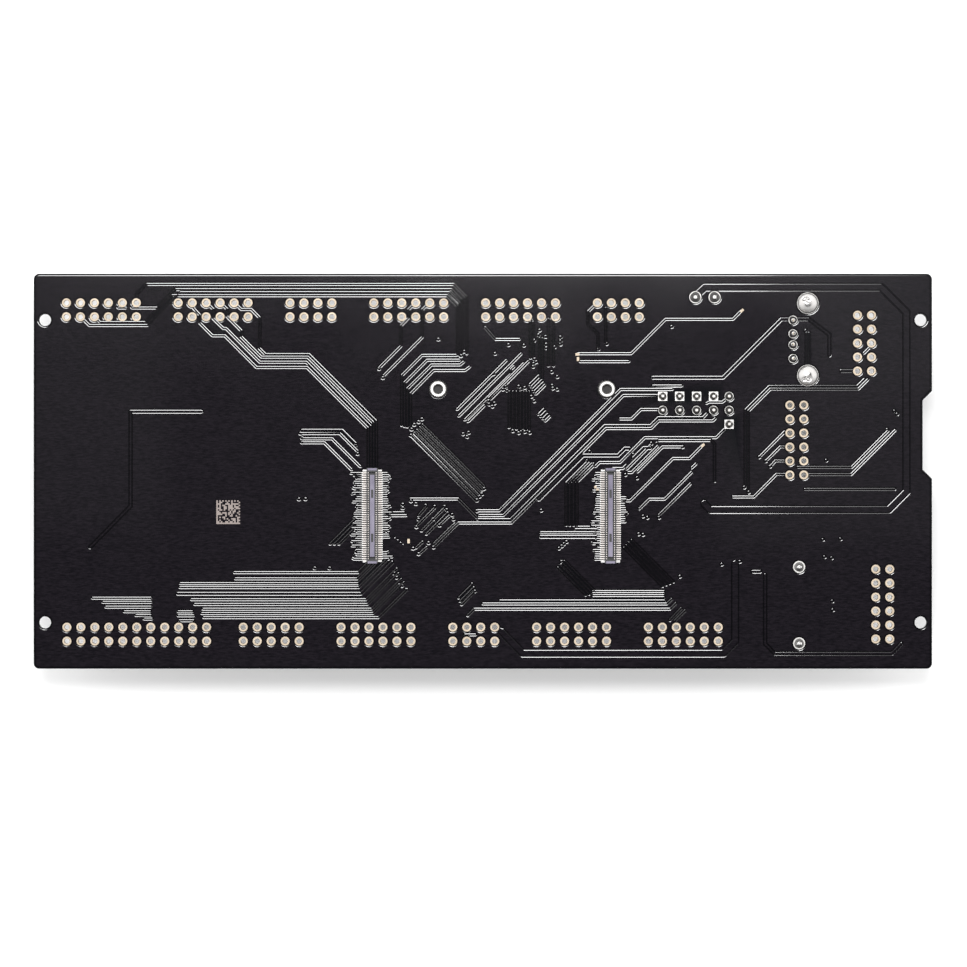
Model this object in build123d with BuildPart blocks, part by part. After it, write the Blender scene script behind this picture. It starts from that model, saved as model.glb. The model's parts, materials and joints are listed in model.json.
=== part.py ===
"""Breakout board for a plug-in computer module, lying with its solder side up.

X runs along the board and Y across it, both from the middle of its outline. Z is up. The board rests on the
parts of its component side, which hang under it, and Z = 0 is the mouth of the upright USB receptacle.
Everything is in millimetres.
"""

from build123d import *

import os
from collections import namedtuple
from math import atan2, degrees

# Circuit board
BOARD_LENGTH = 163.3
BOARD_WIDTH = 71.8
BOARD_THICKNESS = 1.6
CORNER_RADIUS = 1.0
MOUNTING_SPACING = (159.2, 55.0)
MOUNTING_HOLE = 2.2
NOTCH_CENTRE_Y = 6.6
NOTCH_LENGTH = 16.0
NOTCH_DEPTH = 1.7

# Levels: the component side carries the receptacle that the board stands on
USB_HEIGHT = 14.0
COMPONENT_SIDE = USB_HEIGHT
SOLDER_SIDE = COMPONENT_SIDE + BOARD_THICKNESS

# Unfitted two-row header positions, as the place of each pattern's middle and its columns and rows
PITCH = 2.54
HEADER_DRILL = 1.02
DRILL_SIDES = 5
TOP_ROW_X = -75.7
TOP_ROW_Y = 29.35
TOP_ROW = [(0, 6), (8, 6), (16, 4), (22, 6), (30, 6), (38, 4)]
BOTTOM_CORNER_X = -75.62
BOTTOM_ROW_X = -43.56
BOTTOM_ROW_Y = -29.62
BOTTOM_ROW = [(0, 5), (7, 6), (15, 4), (21, 6), (29, 6)]
Header = namedtuple("Header", "x y columns rows")


def header_in_row(first_x, y, step, columns):
    """A two-row header that starts some whole pitches along a row of them."""
    return Header(first_x + (step + (columns - 1) / 2) * PITCH, y, columns, 2)


HEADERS = [
    *(header_in_row(TOP_ROW_X, TOP_ROW_Y, step, columns) for step, columns in TOP_ROW),
    header_in_row(BOTTOM_CORNER_X, BOTTOM_ROW_Y, 0, 11),
    *(header_in_row(BOTTOM_ROW_X, BOTTOM_ROW_Y, step, columns) for step, columns in BOTTOM_ROW),
    Header(69.39, 23.29, 2, 5),
    Header(57.08, 5.67, 2, 6),
    Header(72.7, -24.15, 2, 6),
]

# Upright USB receptacle: the shell's middle, with the pin row beside it
USB = (59.08, 23.98)
USB_PIN_ROW = -2.69
USB_PIN_OFFSETS = (-3.5, -1.0, 1.0, 3.5)
USB_PIN_DRILL = 0.95
USB_TAB_SPACING = 13.14
USB_TAB_WIDTH = 1.6
USB_TAB_DRILL = 2.3
USB_TAB_REACH = 0.8
USB_SHELL = (5.72, 13.1)
USB_SHEET = 0.3
USB_CORNER = 0.7
USB_LIP_HEIGHT = 0.6
USB_LIP_FLARE = 0.5
USB_SPRING_WINDOW = (2.6, 5.6)
USB_SPRING_Z = 2.2
USB_SPRING_Y = 3.3
USB_SPRING_BEND = 0.5
USB_CONTACT = (0.2, 1.0)
USB_PIN_WIDTH = 0.5
USB_BEND_DEPTH = 1.3
USB_TONGUE = (1.84, 11.1)
USB_TONGUE_X = 0.9
USB_TONGUE_TIP = 1.0
USB_BASE_HEIGHT = 4.4
USB_HEEL = (1.0, 9.4, 2.2)

# Two-way upright power header, 3.5 mm between its pins
POWER = (40.38, 31.63)
POWER_PITCH = 3.5
POWER_BODY = (8.7, 7.2, 9.2)
POWER_WALL = 0.8
POWER_FLOOR = 1.6
POWER_WINDOW = (1.6, 2.4)
POWER_PIN = 0.9
POWER_DRILL = 1.4

# Jumpers: four two-pin headers side by side, and a three-pin one beside them
PIN = 0.64
PIN_DRILL = 1.0
PIN_BELOW_BASE = 6.0
PIN_TAPER = 0.15
PIN_ABOVE_BOARD = 1.3
BASE_HEIGHT = 2.54
BASE_WIDTH = 2.5
BASE_CORNER = 0.5
JUMPER_X = 32.7
JUMPER_STEP = 3.08
JUMPER_COUNT = 4
JUMPER_TOP_Y = 13.63
SELECTOR_X = 44.77

# Mezzanine sockets for the module: a moulding with an island in its trough, and a row of contacts each side
MEZZANINE_X = {"left": -20.1, "right": 23.2}
MEZZANINE_Y = -8.1
SOCKET_WIDTH = 2.06
SOCKET_LENGTH = 17.4
SOCKET_HEIGHT = 1.05
SOCKET_FLOOR = 0.3
TROUGH = (1.72, 16.0)
ISLAND = (1.0, 14.9)
ISLAND_DROP = 0.12
ISLAND_MARK = (0.42, 1.5, 0.15)
ISLAND_MARK_Y = 4.0
END_SLOPE = 0.25
CONTACT_PITCH = 0.4
CONTACTS_A_ROW = 40
CONTACT_WIDTH = 0.22
CONTACT_THICKNESS = 0.13
CONTACT_BLADE_X = 0.66
CONTACT_REACH = 1.74
CONTACT_HEIGHT = 0.95
ANCHOR_WIDTH = 0.3
ANCHOR_Y = 8.22

# Threaded spacers that the module is screwed to
SPACERS = {"left": (-8.13, 14.92), "right": (22.54, 14.92)}
SPACER_HEIGHT = 1.5
SPACER_DIAMETER = 2.8
SPACER_FLANGE = (3.5, 0.3)
SPACER_THREAD = 1.6

# Coin-cell retainer, a bent sheet with a leg at each end and a sprung tongue
RETAINER = (57.5, -24.35)
RETAINER_LEG_SPACING = 13.9
RETAINER_SHEET = 0.35
RETAINER_WIDTH = 7.6
RETAINER_DEPTH = 3.4
RETAINER_LEG_WIDTH = 0.9
RETAINER_LEG_REACH = 0.9
RETAINER_TONGUE = (3.0, 9.0)
RETAINER_TONGUE_LIFT = 1.5
RETAINER_SLIT = 0.5

# Memory-card socket behind the notch, its mouth towards +X
CARD_SOCKET = (72.4, NOTCH_CENTRE_Y)
CARD_COVER = (14.6, 14.0, 1.5)
CARD_SHEET = 0.2
CARD_BASE_THICKNESS = 0.4
CARD_RAIL_WIDTH = 1.1
CARD_CONTACT_PITCH = 1.1
CARD_CONTACTS = 8
CARD_CONTACT_WIDTH = 0.6
CARD_CONTACT_SHEET = 0.12
CARD_SLOT = (6.4, 0.8)
CARD_LATCH_WINDOW = (2.4, 1.2)

# Surface-mounted parts
CHIP = (9.6, 18.2)
CHIP_BODY = (5.0, 5.0, 0.8)
CHIP_PADS_A_SIDE = 5
CHIP_PAD_PITCH = 0.65
CHIP_PAD = (0.3, 0.6, 0.05)
CHIP_HEAT_PAD = 3.1
REGULATOR = (37.2, -10.4)
REGULATOR_BODY = (3.9, 4.9, 1.4)
REGULATOR_LEG_PITCH = 1.27
REGULATOR_LEG = (0.2, 0.42)
REGULATOR_STANDOFF = 0.12
REGULATOR_SPAN = 6.0
INDUCTOR = (44.6, -10.4)
INDUCTOR_BODY = (5.2, 5.2, 2.6)
INDUCTOR_CORNER = 1.0
INDUCTOR_TERMINAL = (1.3, 4.0, 0.2)
CAPACITOR = (2.0, 1.25, 1.0)
CAPACITOR_CAP = 0.4
CAPACITORS = [
    (37.2, -5.6),
    (41.0, -5.6),
    (50.2, -8.6),
    (50.2, -11.9),
    (4.6, 20.6),
    (4.6, 16.2),
    (14.6, 21.0),
    (14.6, 16.0),
    (62.4, 10.2),
]

# Solder joints, as the diameter at the board and at the top, and the height
Joint = namedtuple("Joint", "foot top height")
PIN_JOINT = Joint(1.75, 0.95, 0.8)
POWER_JOINT = Joint(2.1, 1.3, 0.9)
LEG_JOINT = Joint(2.0, 1.35, 0.6)
TAB_SHOULDER = Joint(3.8, 2.5, 0.75)
TAB_CROWN = Joint(2.5, 1.0, 0.34)
JOINT_SIDES = 8

BOTTOM = (Align.CENTER, Align.CENTER, Align.MIN)
TOP = (Align.CENTER, Align.CENTER, Align.MAX)


def usb_pin_places():
    return [(USB[0] + USB_PIN_ROW, USB[1] + offset) for offset in USB_PIN_OFFSETS]


def usb_tab_places():
    return [(USB[0], USB[1] + side * USB_TAB_SPACING / 2) for side in (-1, 1)]


def power_pin_places():
    return [(POWER[0] + side * POWER_PITCH / 2, POWER[1]) for side in (-1, 1)]


def retainer_leg_places():
    return [(RETAINER[0], RETAINER[1] + side * RETAINER_LEG_SPACING / 2) for side in (-1, 1)]


def jumper_places():
    """Each jumper's name, with the places of its pins."""
    places = {}
    for index in range(JUMPER_COUNT):
        x = JUMPER_X + index * JUMPER_STEP
        places[f"jumper_{index + 1}"] = [(x, JUMPER_TOP_Y - row * PITCH) for row in range(2)]
    places["selector"] = [(SELECTOR_X, JUMPER_TOP_Y - row * PITCH) for row in range(3)]
    return places


def finish(builder, name):
    """Labels a finished piece and writes it as the node of that name."""
    builder.part.label = name
    export_step(builder.part, f"parts/{name}.step")


def small_drill(diameter):
    """Cuts a pin's hole: it is one of two hundred, so it has a few flats about its circle."""
    RegularPolygon(diameter / 2, DRILL_SIDES, major_radius=False, mode=Mode.SUBTRACT)


def circuit_board():
    """The laminate, with its outline, card notch and every drilled hole, cut from one sketch."""
    with BuildPart() as board:
        with BuildSketch(Plane.XY.offset(COMPONENT_SIDE)) as outline:
            Rectangle(BOARD_LENGTH, BOARD_WIDTH)
            fillet(outline.vertices(), CORNER_RADIUS)
            with Locations((BOARD_LENGTH / 2 - NOTCH_DEPTH / 2, NOTCH_CENTRE_Y)):
                Trapezoid(NOTCH_LENGTH, NOTCH_DEPTH, 45, rotation=90, mode=Mode.SUBTRACT)
            with GridLocations(*MOUNTING_SPACING, 2, 2):
                Circle(MOUNTING_HOLE / 2, mode=Mode.SUBTRACT)
            for header in HEADERS:
                with Locations((header.x, header.y)):
                    with GridLocations(PITCH, PITCH, header.columns, header.rows):
                        small_drill(HEADER_DRILL)
            drilled = {
                PIN_DRILL: [pin for pins in jumper_places().values() for pin in pins],
                USB_PIN_DRILL: usb_pin_places(),
                USB_TAB_DRILL: usb_tab_places(),
                POWER_DRILL: power_pin_places() + retainer_leg_places(),
            }
            for drill, places in drilled.items():
                with Locations(*places):
                    small_drill(drill)
        extrude(amount=BOARD_THICKNESS)
    finish(board, "circuit_board")


def mezzanine_housing(side):
    """A socket's moulding: a trough round an island, sloping ends, and a low arch over the contacts' feet."""
    centre = (MEZZANINE_X[side], MEZZANINE_Y)
    with BuildPart() as housing:
        with Locations((*centre, SOLDER_SIDE)):
            Box(SOCKET_WIDTH, SOCKET_LENGTH, SOCKET_HEIGHT, align=BOTTOM)
        rim = housing.faces().sort_by(Axis.Z)[-1].edges().filter_by(Axis.X)
        chamfer(rim, END_SLOPE)
        with BuildSketch(Plane.XY.offset(SOLDER_SIDE + SOCKET_FLOOR)):
            with Locations(centre):
                Rectangle(*TROUGH)
                Rectangle(*ISLAND, mode=Mode.SUBTRACT)
        extrude(amount=SOCKET_HEIGHT, mode=Mode.SUBTRACT)
        with BuildSketch(Plane.XY.offset(SOLDER_SIDE + SOCKET_HEIGHT)):
            with Locations(centre):
                Rectangle(ISLAND[0], TROUGH[1])
        extrude(amount=-ISLAND_DROP, mode=Mode.SUBTRACT)
        with BuildSketch(Plane.XY.offset(SOLDER_SIDE + SOCKET_HEIGHT - ISLAND_DROP)):
            with Locations(centre):
                with GridLocations(0, 2 * ISLAND_MARK_Y, 1, 2):
                    Rectangle(*ISLAND_MARK[:2])
        extrude(amount=-ISLAND_MARK[2], mode=Mode.SUBTRACT)
        arch = CONTACTS_A_ROW * CONTACT_PITCH
        with Locations((*centre, SOLDER_SIDE)):
            Box(SOCKET_WIDTH, arch, CONTACT_THICKNESS, align=BOTTOM, mode=Mode.SUBTRACT)
            with GridLocations(2 * CONTACT_BLADE_X + CONTACT_THICKNESS, 0, 2, 1):
                Box(CONTACT_THICKNESS, arch, SOCKET_FLOOR, align=BOTTOM, mode=Mode.SUBTRACT)
    finish(housing, f"mezzanine_{side}_housing")


def mezzanine_contacts(side):
    """Both rows of a socket's contacts: each is a foot on the board with a blade up in the trough."""
    blade_outside = CONTACT_BLADE_X + CONTACT_THICKNESS
    with BuildPart() as contact:
        with BuildSketch(Plane.XZ) as profile:
            with BuildLine():
                Polyline(
                    (CONTACT_BLADE_X, 0),
                    (CONTACT_REACH, 0),
                    (CONTACT_REACH, CONTACT_THICKNESS),
                    (blade_outside, CONTACT_THICKNESS),
                    (blade_outside, CONTACT_HEIGHT),
                    (CONTACT_BLADE_X, CONTACT_HEIGHT),
                    close=True,
                )
            make_face()
            mirror(about=Plane.YZ)
        extrude(amount=CONTACT_WIDTH / 2, both=True)
    with BuildPart() as contacts:
        with Locations((MEZZANINE_X[side], MEZZANINE_Y, SOLDER_SIDE)):
            with GridLocations(0, CONTACT_PITCH, 1, CONTACTS_A_ROW):
                add(contact.part)
    finish(contacts, f"mezzanine_{side}_contacts")


def mezzanine_anchors(side):
    """The four soldered corner tabs that hold a socket down."""
    reach = CONTACT_REACH - SOCKET_WIDTH / 2
    with BuildPart() as anchors:
        with Locations((MEZZANINE_X[side], MEZZANINE_Y, SOLDER_SIDE)):
            with GridLocations(SOCKET_WIDTH + reach, 2 * ANCHOR_Y, 2, 2):
                Box(reach, ANCHOR_WIDTH, SOCKET_FLOOR, align=BOTTOM)
    finish(anchors, f"mezzanine_{side}_anchors")


def spacer(side):
    """A threaded spacer on its soldering flange."""
    with BuildPart() as body:
        with Locations((*SPACERS[side], SOLDER_SIDE)):
            Cylinder(SPACER_FLANGE[0] / 2, SPACER_FLANGE[1], align=BOTTOM)
            Cylinder(SPACER_DIAMETER / 2, SPACER_HEIGHT, align=BOTTOM)
            Cylinder(SPACER_THREAD / 2, SPACER_HEIGHT, align=BOTTOM, mode=Mode.SUBTRACT)
    finish(body, f"spacer_{side}")


def usb_outline(growth):
    """The shell's rounded outline, grown by an amount."""
    depth, width = USB_SHELL
    with Locations(USB):
        RectangleRounded(depth + 2 * growth, width + 2 * growth, USB_CORNER + growth)


def usb_tube(growth_at_mouth, growth):
    """A solid of the shell's outline, flaring at the mouth."""
    with BuildPart() as tube:
        with BuildSketch(Plane.XY):
            usb_outline(growth_at_mouth)
        with BuildSketch(Plane.XY.offset(USB_LIP_HEIGHT)):
            usb_outline(growth)
        loft()
        with BuildSketch(Plane.XY.offset(USB_LIP_HEIGHT)):
            usb_outline(growth)
        extrude(amount=USB_HEIGHT - USB_LIP_HEIGHT)
    return tube.part


def usb_shell():
    """The receptacle's drawn shell: flared mouth, sprung windows, board tabs and a gap over the pin row."""
    half_depth, half_width = USB_SHELL[0] / 2, USB_SHELL[1] / 2
    window_width, window_height = USB_SPRING_WINDOW
    heel_depth, heel_width, heel_height = USB_HEEL
    spring_width = window_width - 2 * USB_SHEET
    with BuildPart() as spring:
        with BuildSketch(Plane.XZ):
            with BuildLine():
                Polyline(
                    (half_depth - USB_SHEET, -USB_SHEET),
                    (half_depth - USB_SHEET, 0),
                    (half_depth - USB_SHEET - USB_SPRING_BEND, window_height * 0.7),
                    (half_depth - USB_SHEET, window_height * 0.95),
                )
                offset(amount=USB_SHEET, side=Side.RIGHT)
            make_face()
        extrude(amount=spring_width / 2, both=True)
    with BuildPart() as shell:
        add(usb_tube(USB_LIP_FLARE, 0))
        add(usb_tube(USB_LIP_FLARE - USB_SHEET, -USB_SHEET), mode=Mode.SUBTRACT)
        with Locations((*USB, USB_SPRING_Z)):
            with GridLocations(0, 2 * USB_SPRING_Y, 1, 2):
                Box(2 * USB_SHELL[0], window_width, window_height, align=BOTTOM, mode=Mode.SUBTRACT)
                add(spring.part)
                add(spring.part.mirror(Plane.YZ))
        with Locations((USB[0] - half_depth, USB[1], USB_HEIGHT)):
            Box(heel_depth, heel_width, heel_height, align=TOP, mode=Mode.SUBTRACT)
        tab_height = BOARD_THICKNESS + USB_TAB_REACH
        with Locations((*USB, USB_HEIGHT)):
            with GridLocations(0, 2 * half_width - USB_SHEET, 1, 2):
                Box(USB_TAB_WIDTH, USB_SHEET, tab_height, align=BOTTOM)
    finish(shell, "usb_shell")


def usb_contact():
    """One contact about the shell's middle: a strip up the tongue, a bend across, and a pin."""
    sheet, width = USB_CONTACT
    tongue_face = USB_TONGUE_X - USB_TONGUE[0] / 2
    bend = USB_HEIGHT - USB_BEND_DEPTH
    with BuildPart() as contact:
        with BuildSketch(Plane.XZ):
            with BuildLine():
                Polyline(
                    (tongue_face, USB_TONGUE_TIP + 2 * sheet),
                    (tongue_face, bend),
                    (USB_PIN_ROW - sheet / 2, bend),
                )
                offset(amount=sheet, side=Side.RIGHT, kind=Kind.INTERSECTION)
            make_face()
        extrude(amount=width / 2, both=True)
        with BuildSketch(Plane.XY.offset(bend)):
            with Locations((USB_PIN_ROW, 0)):
                Rectangle(sheet, USB_PIN_WIDTH)
        extrude(amount=USB_BEND_DEPTH + BOARD_THICKNESS + PIN_ABOVE_BOARD)
    return contact.part


def usb_contacts():
    contact = usb_contact()
    with BuildPart() as contacts:
        with Locations((USB[0], USB[1], 0)):
            with Locations(*[(0, offset, 0) for offset in USB_PIN_OFFSETS]):
                add(contact)
    finish(contacts, "usb_contacts")


def usb_insulator():
    """The moulding in the shell: a base on the board, a heel out to the pin row, and the tongue, grooved for the
    contacts that it holds.
    """
    depth, width = (size - 2 * USB_SHEET for size in USB_SHELL)
    heel_depth, heel_width, heel_height = USB_HEEL
    tongue_height = USB_HEIGHT - USB_BASE_HEIGHT - USB_TONGUE_TIP
    contact = usb_contact()
    with BuildPart() as insulator:
        with BuildSketch(Plane.XY.offset(USB_HEIGHT)):
            with Locations(USB):
                RectangleRounded(depth, width, USB_CORNER - USB_SHEET)
        extrude(amount=-USB_BASE_HEIGHT)
        with Locations((USB[0] - depth / 2, USB[1], USB_HEIGHT)):
            Box(heel_depth, heel_width, heel_height, align=TOP)
        with Locations((USB[0] + USB_TONGUE_X, USB[1], USB_TONGUE_TIP)):
            Box(*USB_TONGUE, tongue_height, align=BOTTOM)
        tip = insulator.faces().sort_by(Axis.Z)[0]
        chamfer(tip.edges().filter_by(Axis.Y), USB_SHEET)
        with Locations((USB[0], USB[1], 0)):
            with Locations(*[(0, offset, 0) for offset in USB_PIN_OFFSETS]):
                add(contact, mode=Mode.SUBTRACT)
    finish(insulator, "usb_insulator")


def power_header_housing():
    """A box open downwards: a chamfered rim, latch windows in one long wall, coding ribs in the other."""
    length, width, height = POWER_BODY
    inner_length, inner_width = length - 2 * POWER_WALL, width - 2 * POWER_WALL
    window_width, window_height = POWER_WINDOW
    mouth = COMPONENT_SIDE - height
    with BuildPart() as housing:
        with Locations((*POWER, mouth)):
            Box(length, width, height, align=BOTTOM)
            Box(inner_length, inner_width, height - POWER_FLOOR, align=BOTTOM, mode=Mode.SUBTRACT)
        rim = housing.faces().sort_by(Axis.Z)[0]
        chamfer(rim.inner_wires()[0].edges(), POWER_WALL / 2)
        with Locations((POWER[0], POWER[1], mouth + height / 2)):
            with GridLocations(POWER_PITCH, 0, 2, 1):
                with Locations((0, -width / 2, 0)):
                    Box(window_width, 2 * POWER_WALL, window_height, mode=Mode.SUBTRACT)
                with Locations((0, inner_width / 2, 0)):
                    Box(POWER_WALL, POWER_WALL, height / 2)
        with Locations((*POWER, COMPONENT_SIDE)):
            with GridLocations(POWER_PITCH, 0, 2, 1):
                Box(POWER_PIN, POWER_PIN, POWER_FLOOR, align=TOP, mode=Mode.SUBTRACT)
    finish(housing, "power_header_housing")


def tapered_pins(places, width, lowest, highest, name):
    """Square pins through the board, each tapered at the end that hangs down."""
    with BuildPart() as pins:
        with Locations(*[(x, y, lowest) for x, y in places]):
            Box(width, width, highest - lowest, align=BOTTOM)
        tips = pins.faces().filter_by(Axis.Z).group_by(Axis.Z)[0]
        chamfer(tips.edges(), length=PIN_TAPER, length2=2 * PIN_TAPER)
    finish(pins, name)


def header_base(places, name):
    """A header's moulding: a cell with cut corners round each pin, joined side by side."""
    with BuildPart() as base:
        with BuildSketch(Plane.XY.offset(COMPONENT_SIDE)):
            for place in places:
                with BuildSketch(mode=Mode.PRIVATE) as cell:
                    Rectangle(BASE_WIDTH, PITCH)
                    chamfer(cell.vertices(), BASE_CORNER)
                with Locations(place):
                    add(cell.sketch)
            with Locations(*places):
                Rectangle(PIN, PIN, mode=Mode.SUBTRACT)
        extrude(amount=-BASE_HEIGHT)
    finish(base, name)


def headers():
    """Every fitted pin header, as a moulding and its pins."""
    lowest = COMPONENT_SIDE - BASE_HEIGHT - PIN_BELOW_BASE
    for name, places in jumper_places().items():
        header_base(places, f"{name}_base")
        tapered_pins(places, PIN, lowest, SOLDER_SIDE + PIN_ABOVE_BOARD, f"{name}_pins")


def coin_cell_retainer():
    """A bent sheet bridge with a leg through the board at each end, and a tongue that presses on the cell."""
    half_length = (RETAINER_LEG_SPACING + RETAINER_SHEET) / 2
    tongue_width, tongue_length = RETAINER_TONGUE
    leg_height = BOARD_THICKNESS + RETAINER_LEG_REACH
    bridge = COMPONENT_SIDE - RETAINER_DEPTH
    with BuildPart() as retainer:
        with BuildSketch(Plane.YZ.offset(RETAINER[0] - RETAINER_WIDTH / 2)):
            with BuildLine(mode=Mode.PRIVATE) as path:
                Polyline(
                    (RETAINER[1] - half_length, COMPONENT_SIDE),
                    (RETAINER[1] - half_length, bridge),
                    (RETAINER[1] + half_length, bridge),
                    (RETAINER[1] + half_length, COMPONENT_SIDE),
                )
            with BuildLine():
                add(path.line)
                offset(amount=RETAINER_SHEET, side=Side.LEFT)
            make_face()
        extrude(amount=RETAINER_WIDTH)
        corners = retainer.edges().filter_by(Axis.X).group_by(Axis.Z)[0]
        fillet(corners, 2 * RETAINER_SHEET)
        with Locations((RETAINER[0], RETAINER[1], bridge)):
            Box(
                tongue_width + 2 * RETAINER_SLIT,
                tongue_length,
                RETAINER_SHEET,
                align=BOTTOM,
                mode=Mode.SUBTRACT,
            )
        with BuildSketch(Plane.YZ.offset(RETAINER[0] - tongue_width / 2)):
            with BuildLine():
                Polyline(
                    (RETAINER[1] - tongue_length / 2, bridge),
                    (RETAINER[1] + tongue_length / 4, bridge + RETAINER_TONGUE_LIFT),
                    (RETAINER[1] + tongue_length / 2 - RETAINER_SLIT, bridge + RETAINER_SHEET),
                )
                offset(amount=RETAINER_SHEET, side=Side.LEFT)
            make_face()
        extrude(amount=tongue_width)
        for x, y in retainer_leg_places():
            with Locations((x, y, COMPONENT_SIDE)):
                Box(RETAINER_LEG_WIDTH, RETAINER_SHEET, leg_height, align=BOTTOM)
    finish(retainer, "coin_cell_retainer")


def card_contact_places():
    """The middle of each card contact across the socket."""
    first = -(CARD_CONTACTS - 1) / 2 * CARD_CONTACT_PITCH
    return [first + index * CARD_CONTACT_PITCH for index in range(CARD_CONTACTS)]


def card_socket_cover():
    """The folded cover of the card socket, open at the card's mouth and against the board."""
    length, width, height = CARD_COVER
    slot_length, slot_width = CARD_SLOT
    window_length, window_width = CARD_LATCH_WINDOW
    with BuildPart() as cover:
        with Locations((*CARD_SOCKET, COMPONENT_SIDE)):
            Box(length, width, height, align=TOP)
        outer = cover.edges().filter_by(Axis.X).group_by(Axis.Z)[0]
        fillet(outer, 2 * CARD_SHEET)
        with Locations((CARD_SOCKET[0] + CARD_SHEET, CARD_SOCKET[1], COMPONENT_SIDE)):
            Box(length, width - 2 * CARD_SHEET, height - CARD_SHEET, align=TOP, mode=Mode.SUBTRACT)
        with Locations((*CARD_SOCKET, COMPONENT_SIDE - height)):
            with Locations((length / 6, width / 4, 0), (length / 6, -width / 4, 0)):
                Box(slot_length, slot_width, height / 2, align=BOTTOM, mode=Mode.SUBTRACT)
            with Locations((-length / 3, width / 3, 0)):
                Box(window_length, window_width, height / 2, align=BOTTOM, mode=Mode.SUBTRACT)
    finish(cover, "card_socket_cover")


def card_socket_base():
    """The socket's moulding: a floor on the board, slotted over each contact, and a rail along each side."""
    length, width, height = CARD_COVER
    inner_width = width - 2 * CARD_SHEET
    floor_length = length - CARD_SHEET
    with BuildPart() as base:
        with Locations((CARD_SOCKET[0] + CARD_SHEET / 2, CARD_SOCKET[1], COMPONENT_SIDE)):
            Box(floor_length, inner_width, CARD_BASE_THICKNESS, align=TOP)
            with GridLocations(0, inner_width - CARD_RAIL_WIDTH, 1, 2):
                Box(floor_length, CARD_RAIL_WIDTH, height - CARD_SHEET, align=TOP)
            with Locations(*[(-floor_length / 4, y, 0) for y in card_contact_places()]):
                Box(
                    floor_length / 2,
                    CARD_CONTACT_PITCH - 2 * CARD_SHEET,
                    CARD_BASE_THICKNESS,
                    align=TOP,
                    mode=Mode.SUBTRACT,
                )
    finish(base, "card_socket_base")


def card_socket_contacts():
    """The card contacts: a tail soldered behind the socket, a run in its slot and a sprung nose."""
    length, _, height = CARD_COVER
    back = CARD_SOCKET[0] - length / 2
    slot_end = CARD_SOCKET[0] - CARD_SHEET
    sprung = COMPONENT_SIDE - CARD_BASE_THICKNESS - 3 * CARD_CONTACT_SHEET
    with BuildPart() as contact:
        with BuildSketch(Plane.XZ):
            with BuildLine():
                Polyline(
                    (back + 2 * CARD_SHEET, COMPONENT_SIDE),
                    (back + length / 8, COMPONENT_SIDE),
                    (slot_end - 2 * CARD_SHEET, sprung),
                    (slot_end, sprung + CARD_CONTACT_SHEET),
                )
                offset(amount=CARD_CONTACT_SHEET, side=Side.RIGHT, kind=Kind.INTERSECTION)
            make_face()
        extrude(amount=CARD_CONTACT_WIDTH / 2, both=True)
    with BuildPart() as contacts:
        with Locations((0, CARD_SOCKET[1], 0)):
            with Locations(*[(0, y, 0) for y in card_contact_places()]):
                add(contact.part)
    finish(contacts, "card_socket_contacts")


def chip():
    """A leadless square chip and the pads that it is soldered by."""
    length, width, height = CHIP_BODY
    pad_width, pad_length, pad_height = CHIP_PAD
    row = length - pad_length + 2 * pad_height
    with BuildPart() as body:
        with BuildSketch(Plane.XY.offset(COMPONENT_SIDE - pad_height)) as outline:
            with Locations(CHIP):
                Rectangle(length, width)
            chamfer(outline.vertices().group_by(SortBy.DISTANCE)[0], pad_width)
        extrude(amount=-height)
    finish(body, "chip_body")
    with BuildPart() as pads:
        with Locations((*CHIP, COMPONENT_SIDE)):
            Box(CHIP_HEAT_PAD, CHIP_HEAT_PAD, pad_height, align=TOP)
            with GridLocations(row, CHIP_PAD_PITCH, 2, CHIP_PADS_A_SIDE):
                Box(pad_length, pad_width, pad_height, align=TOP)
            with GridLocations(CHIP_PAD_PITCH, row, CHIP_PADS_A_SIDE, 2):
                Box(pad_width, pad_length, pad_height, align=TOP)
    finish(pads, "chip_pads")


def regulator():
    """An eight-legged regulator: a body with drafted sides, and gull-wing legs."""
    length, width, height = REGULATOR_BODY
    sheet, leg_width = REGULATOR_LEG
    middle = height / 2 + REGULATOR_STANDOFF
    with BuildPart() as body:
        with BuildSketch(Plane.XY.offset(COMPONENT_SIDE - REGULATOR_STANDOFF - height / 2)):
            with Locations(REGULATOR):
                Rectangle(length, width)
        extrude(amount=height / 2, both=True, taper=8)
    finish(body, "regulator_body")
    with BuildPart() as leg:
        with BuildSketch(Plane.XZ):
            with BuildLine():
                Polyline(
                    (REGULATOR_SPAN / 2, -sheet),
                    (REGULATOR_SPAN / 2 - 3 * sheet, -sheet),
                    (REGULATOR_SPAN / 2 - 4 * sheet, -middle - sheet / 2),
                    (length / 2, -middle - sheet / 2),
                )
                offset(amount=sheet, side=Side.RIGHT, kind=Kind.INTERSECTION)
            make_face()
            mirror(about=Plane.YZ)
        extrude(amount=leg_width / 2, both=True)
    with BuildPart() as legs:
        with Locations((*REGULATOR, COMPONENT_SIDE)):
            with GridLocations(0, REGULATOR_LEG_PITCH, 1, 4):
                add(leg.part)
    finish(legs, "regulator_legs")


def inductor():
    """A moulded power inductor and the two flat terminals under it."""
    length, width, height = INDUCTOR_BODY
    terminal_length, terminal_width, terminal_height = INDUCTOR_TERMINAL
    with BuildPart() as body:
        with BuildSketch(Plane.XY.offset(COMPONENT_SIDE - terminal_height)) as outline:
            with Locations(INDUCTOR):
                Rectangle(length, width)
            chamfer(outline.vertices(), INDUCTOR_CORNER)
        extrude(amount=-height)
    finish(body, "inductor_body")
    with BuildPart() as terminals:
        with Locations((*INDUCTOR, COMPONENT_SIDE)):
            with GridLocations(length - terminal_length, 0, 2, 1):
                Box(terminal_length, terminal_width, terminal_height, align=TOP)
    finish(terminals, "inductor_terminals")


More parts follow.
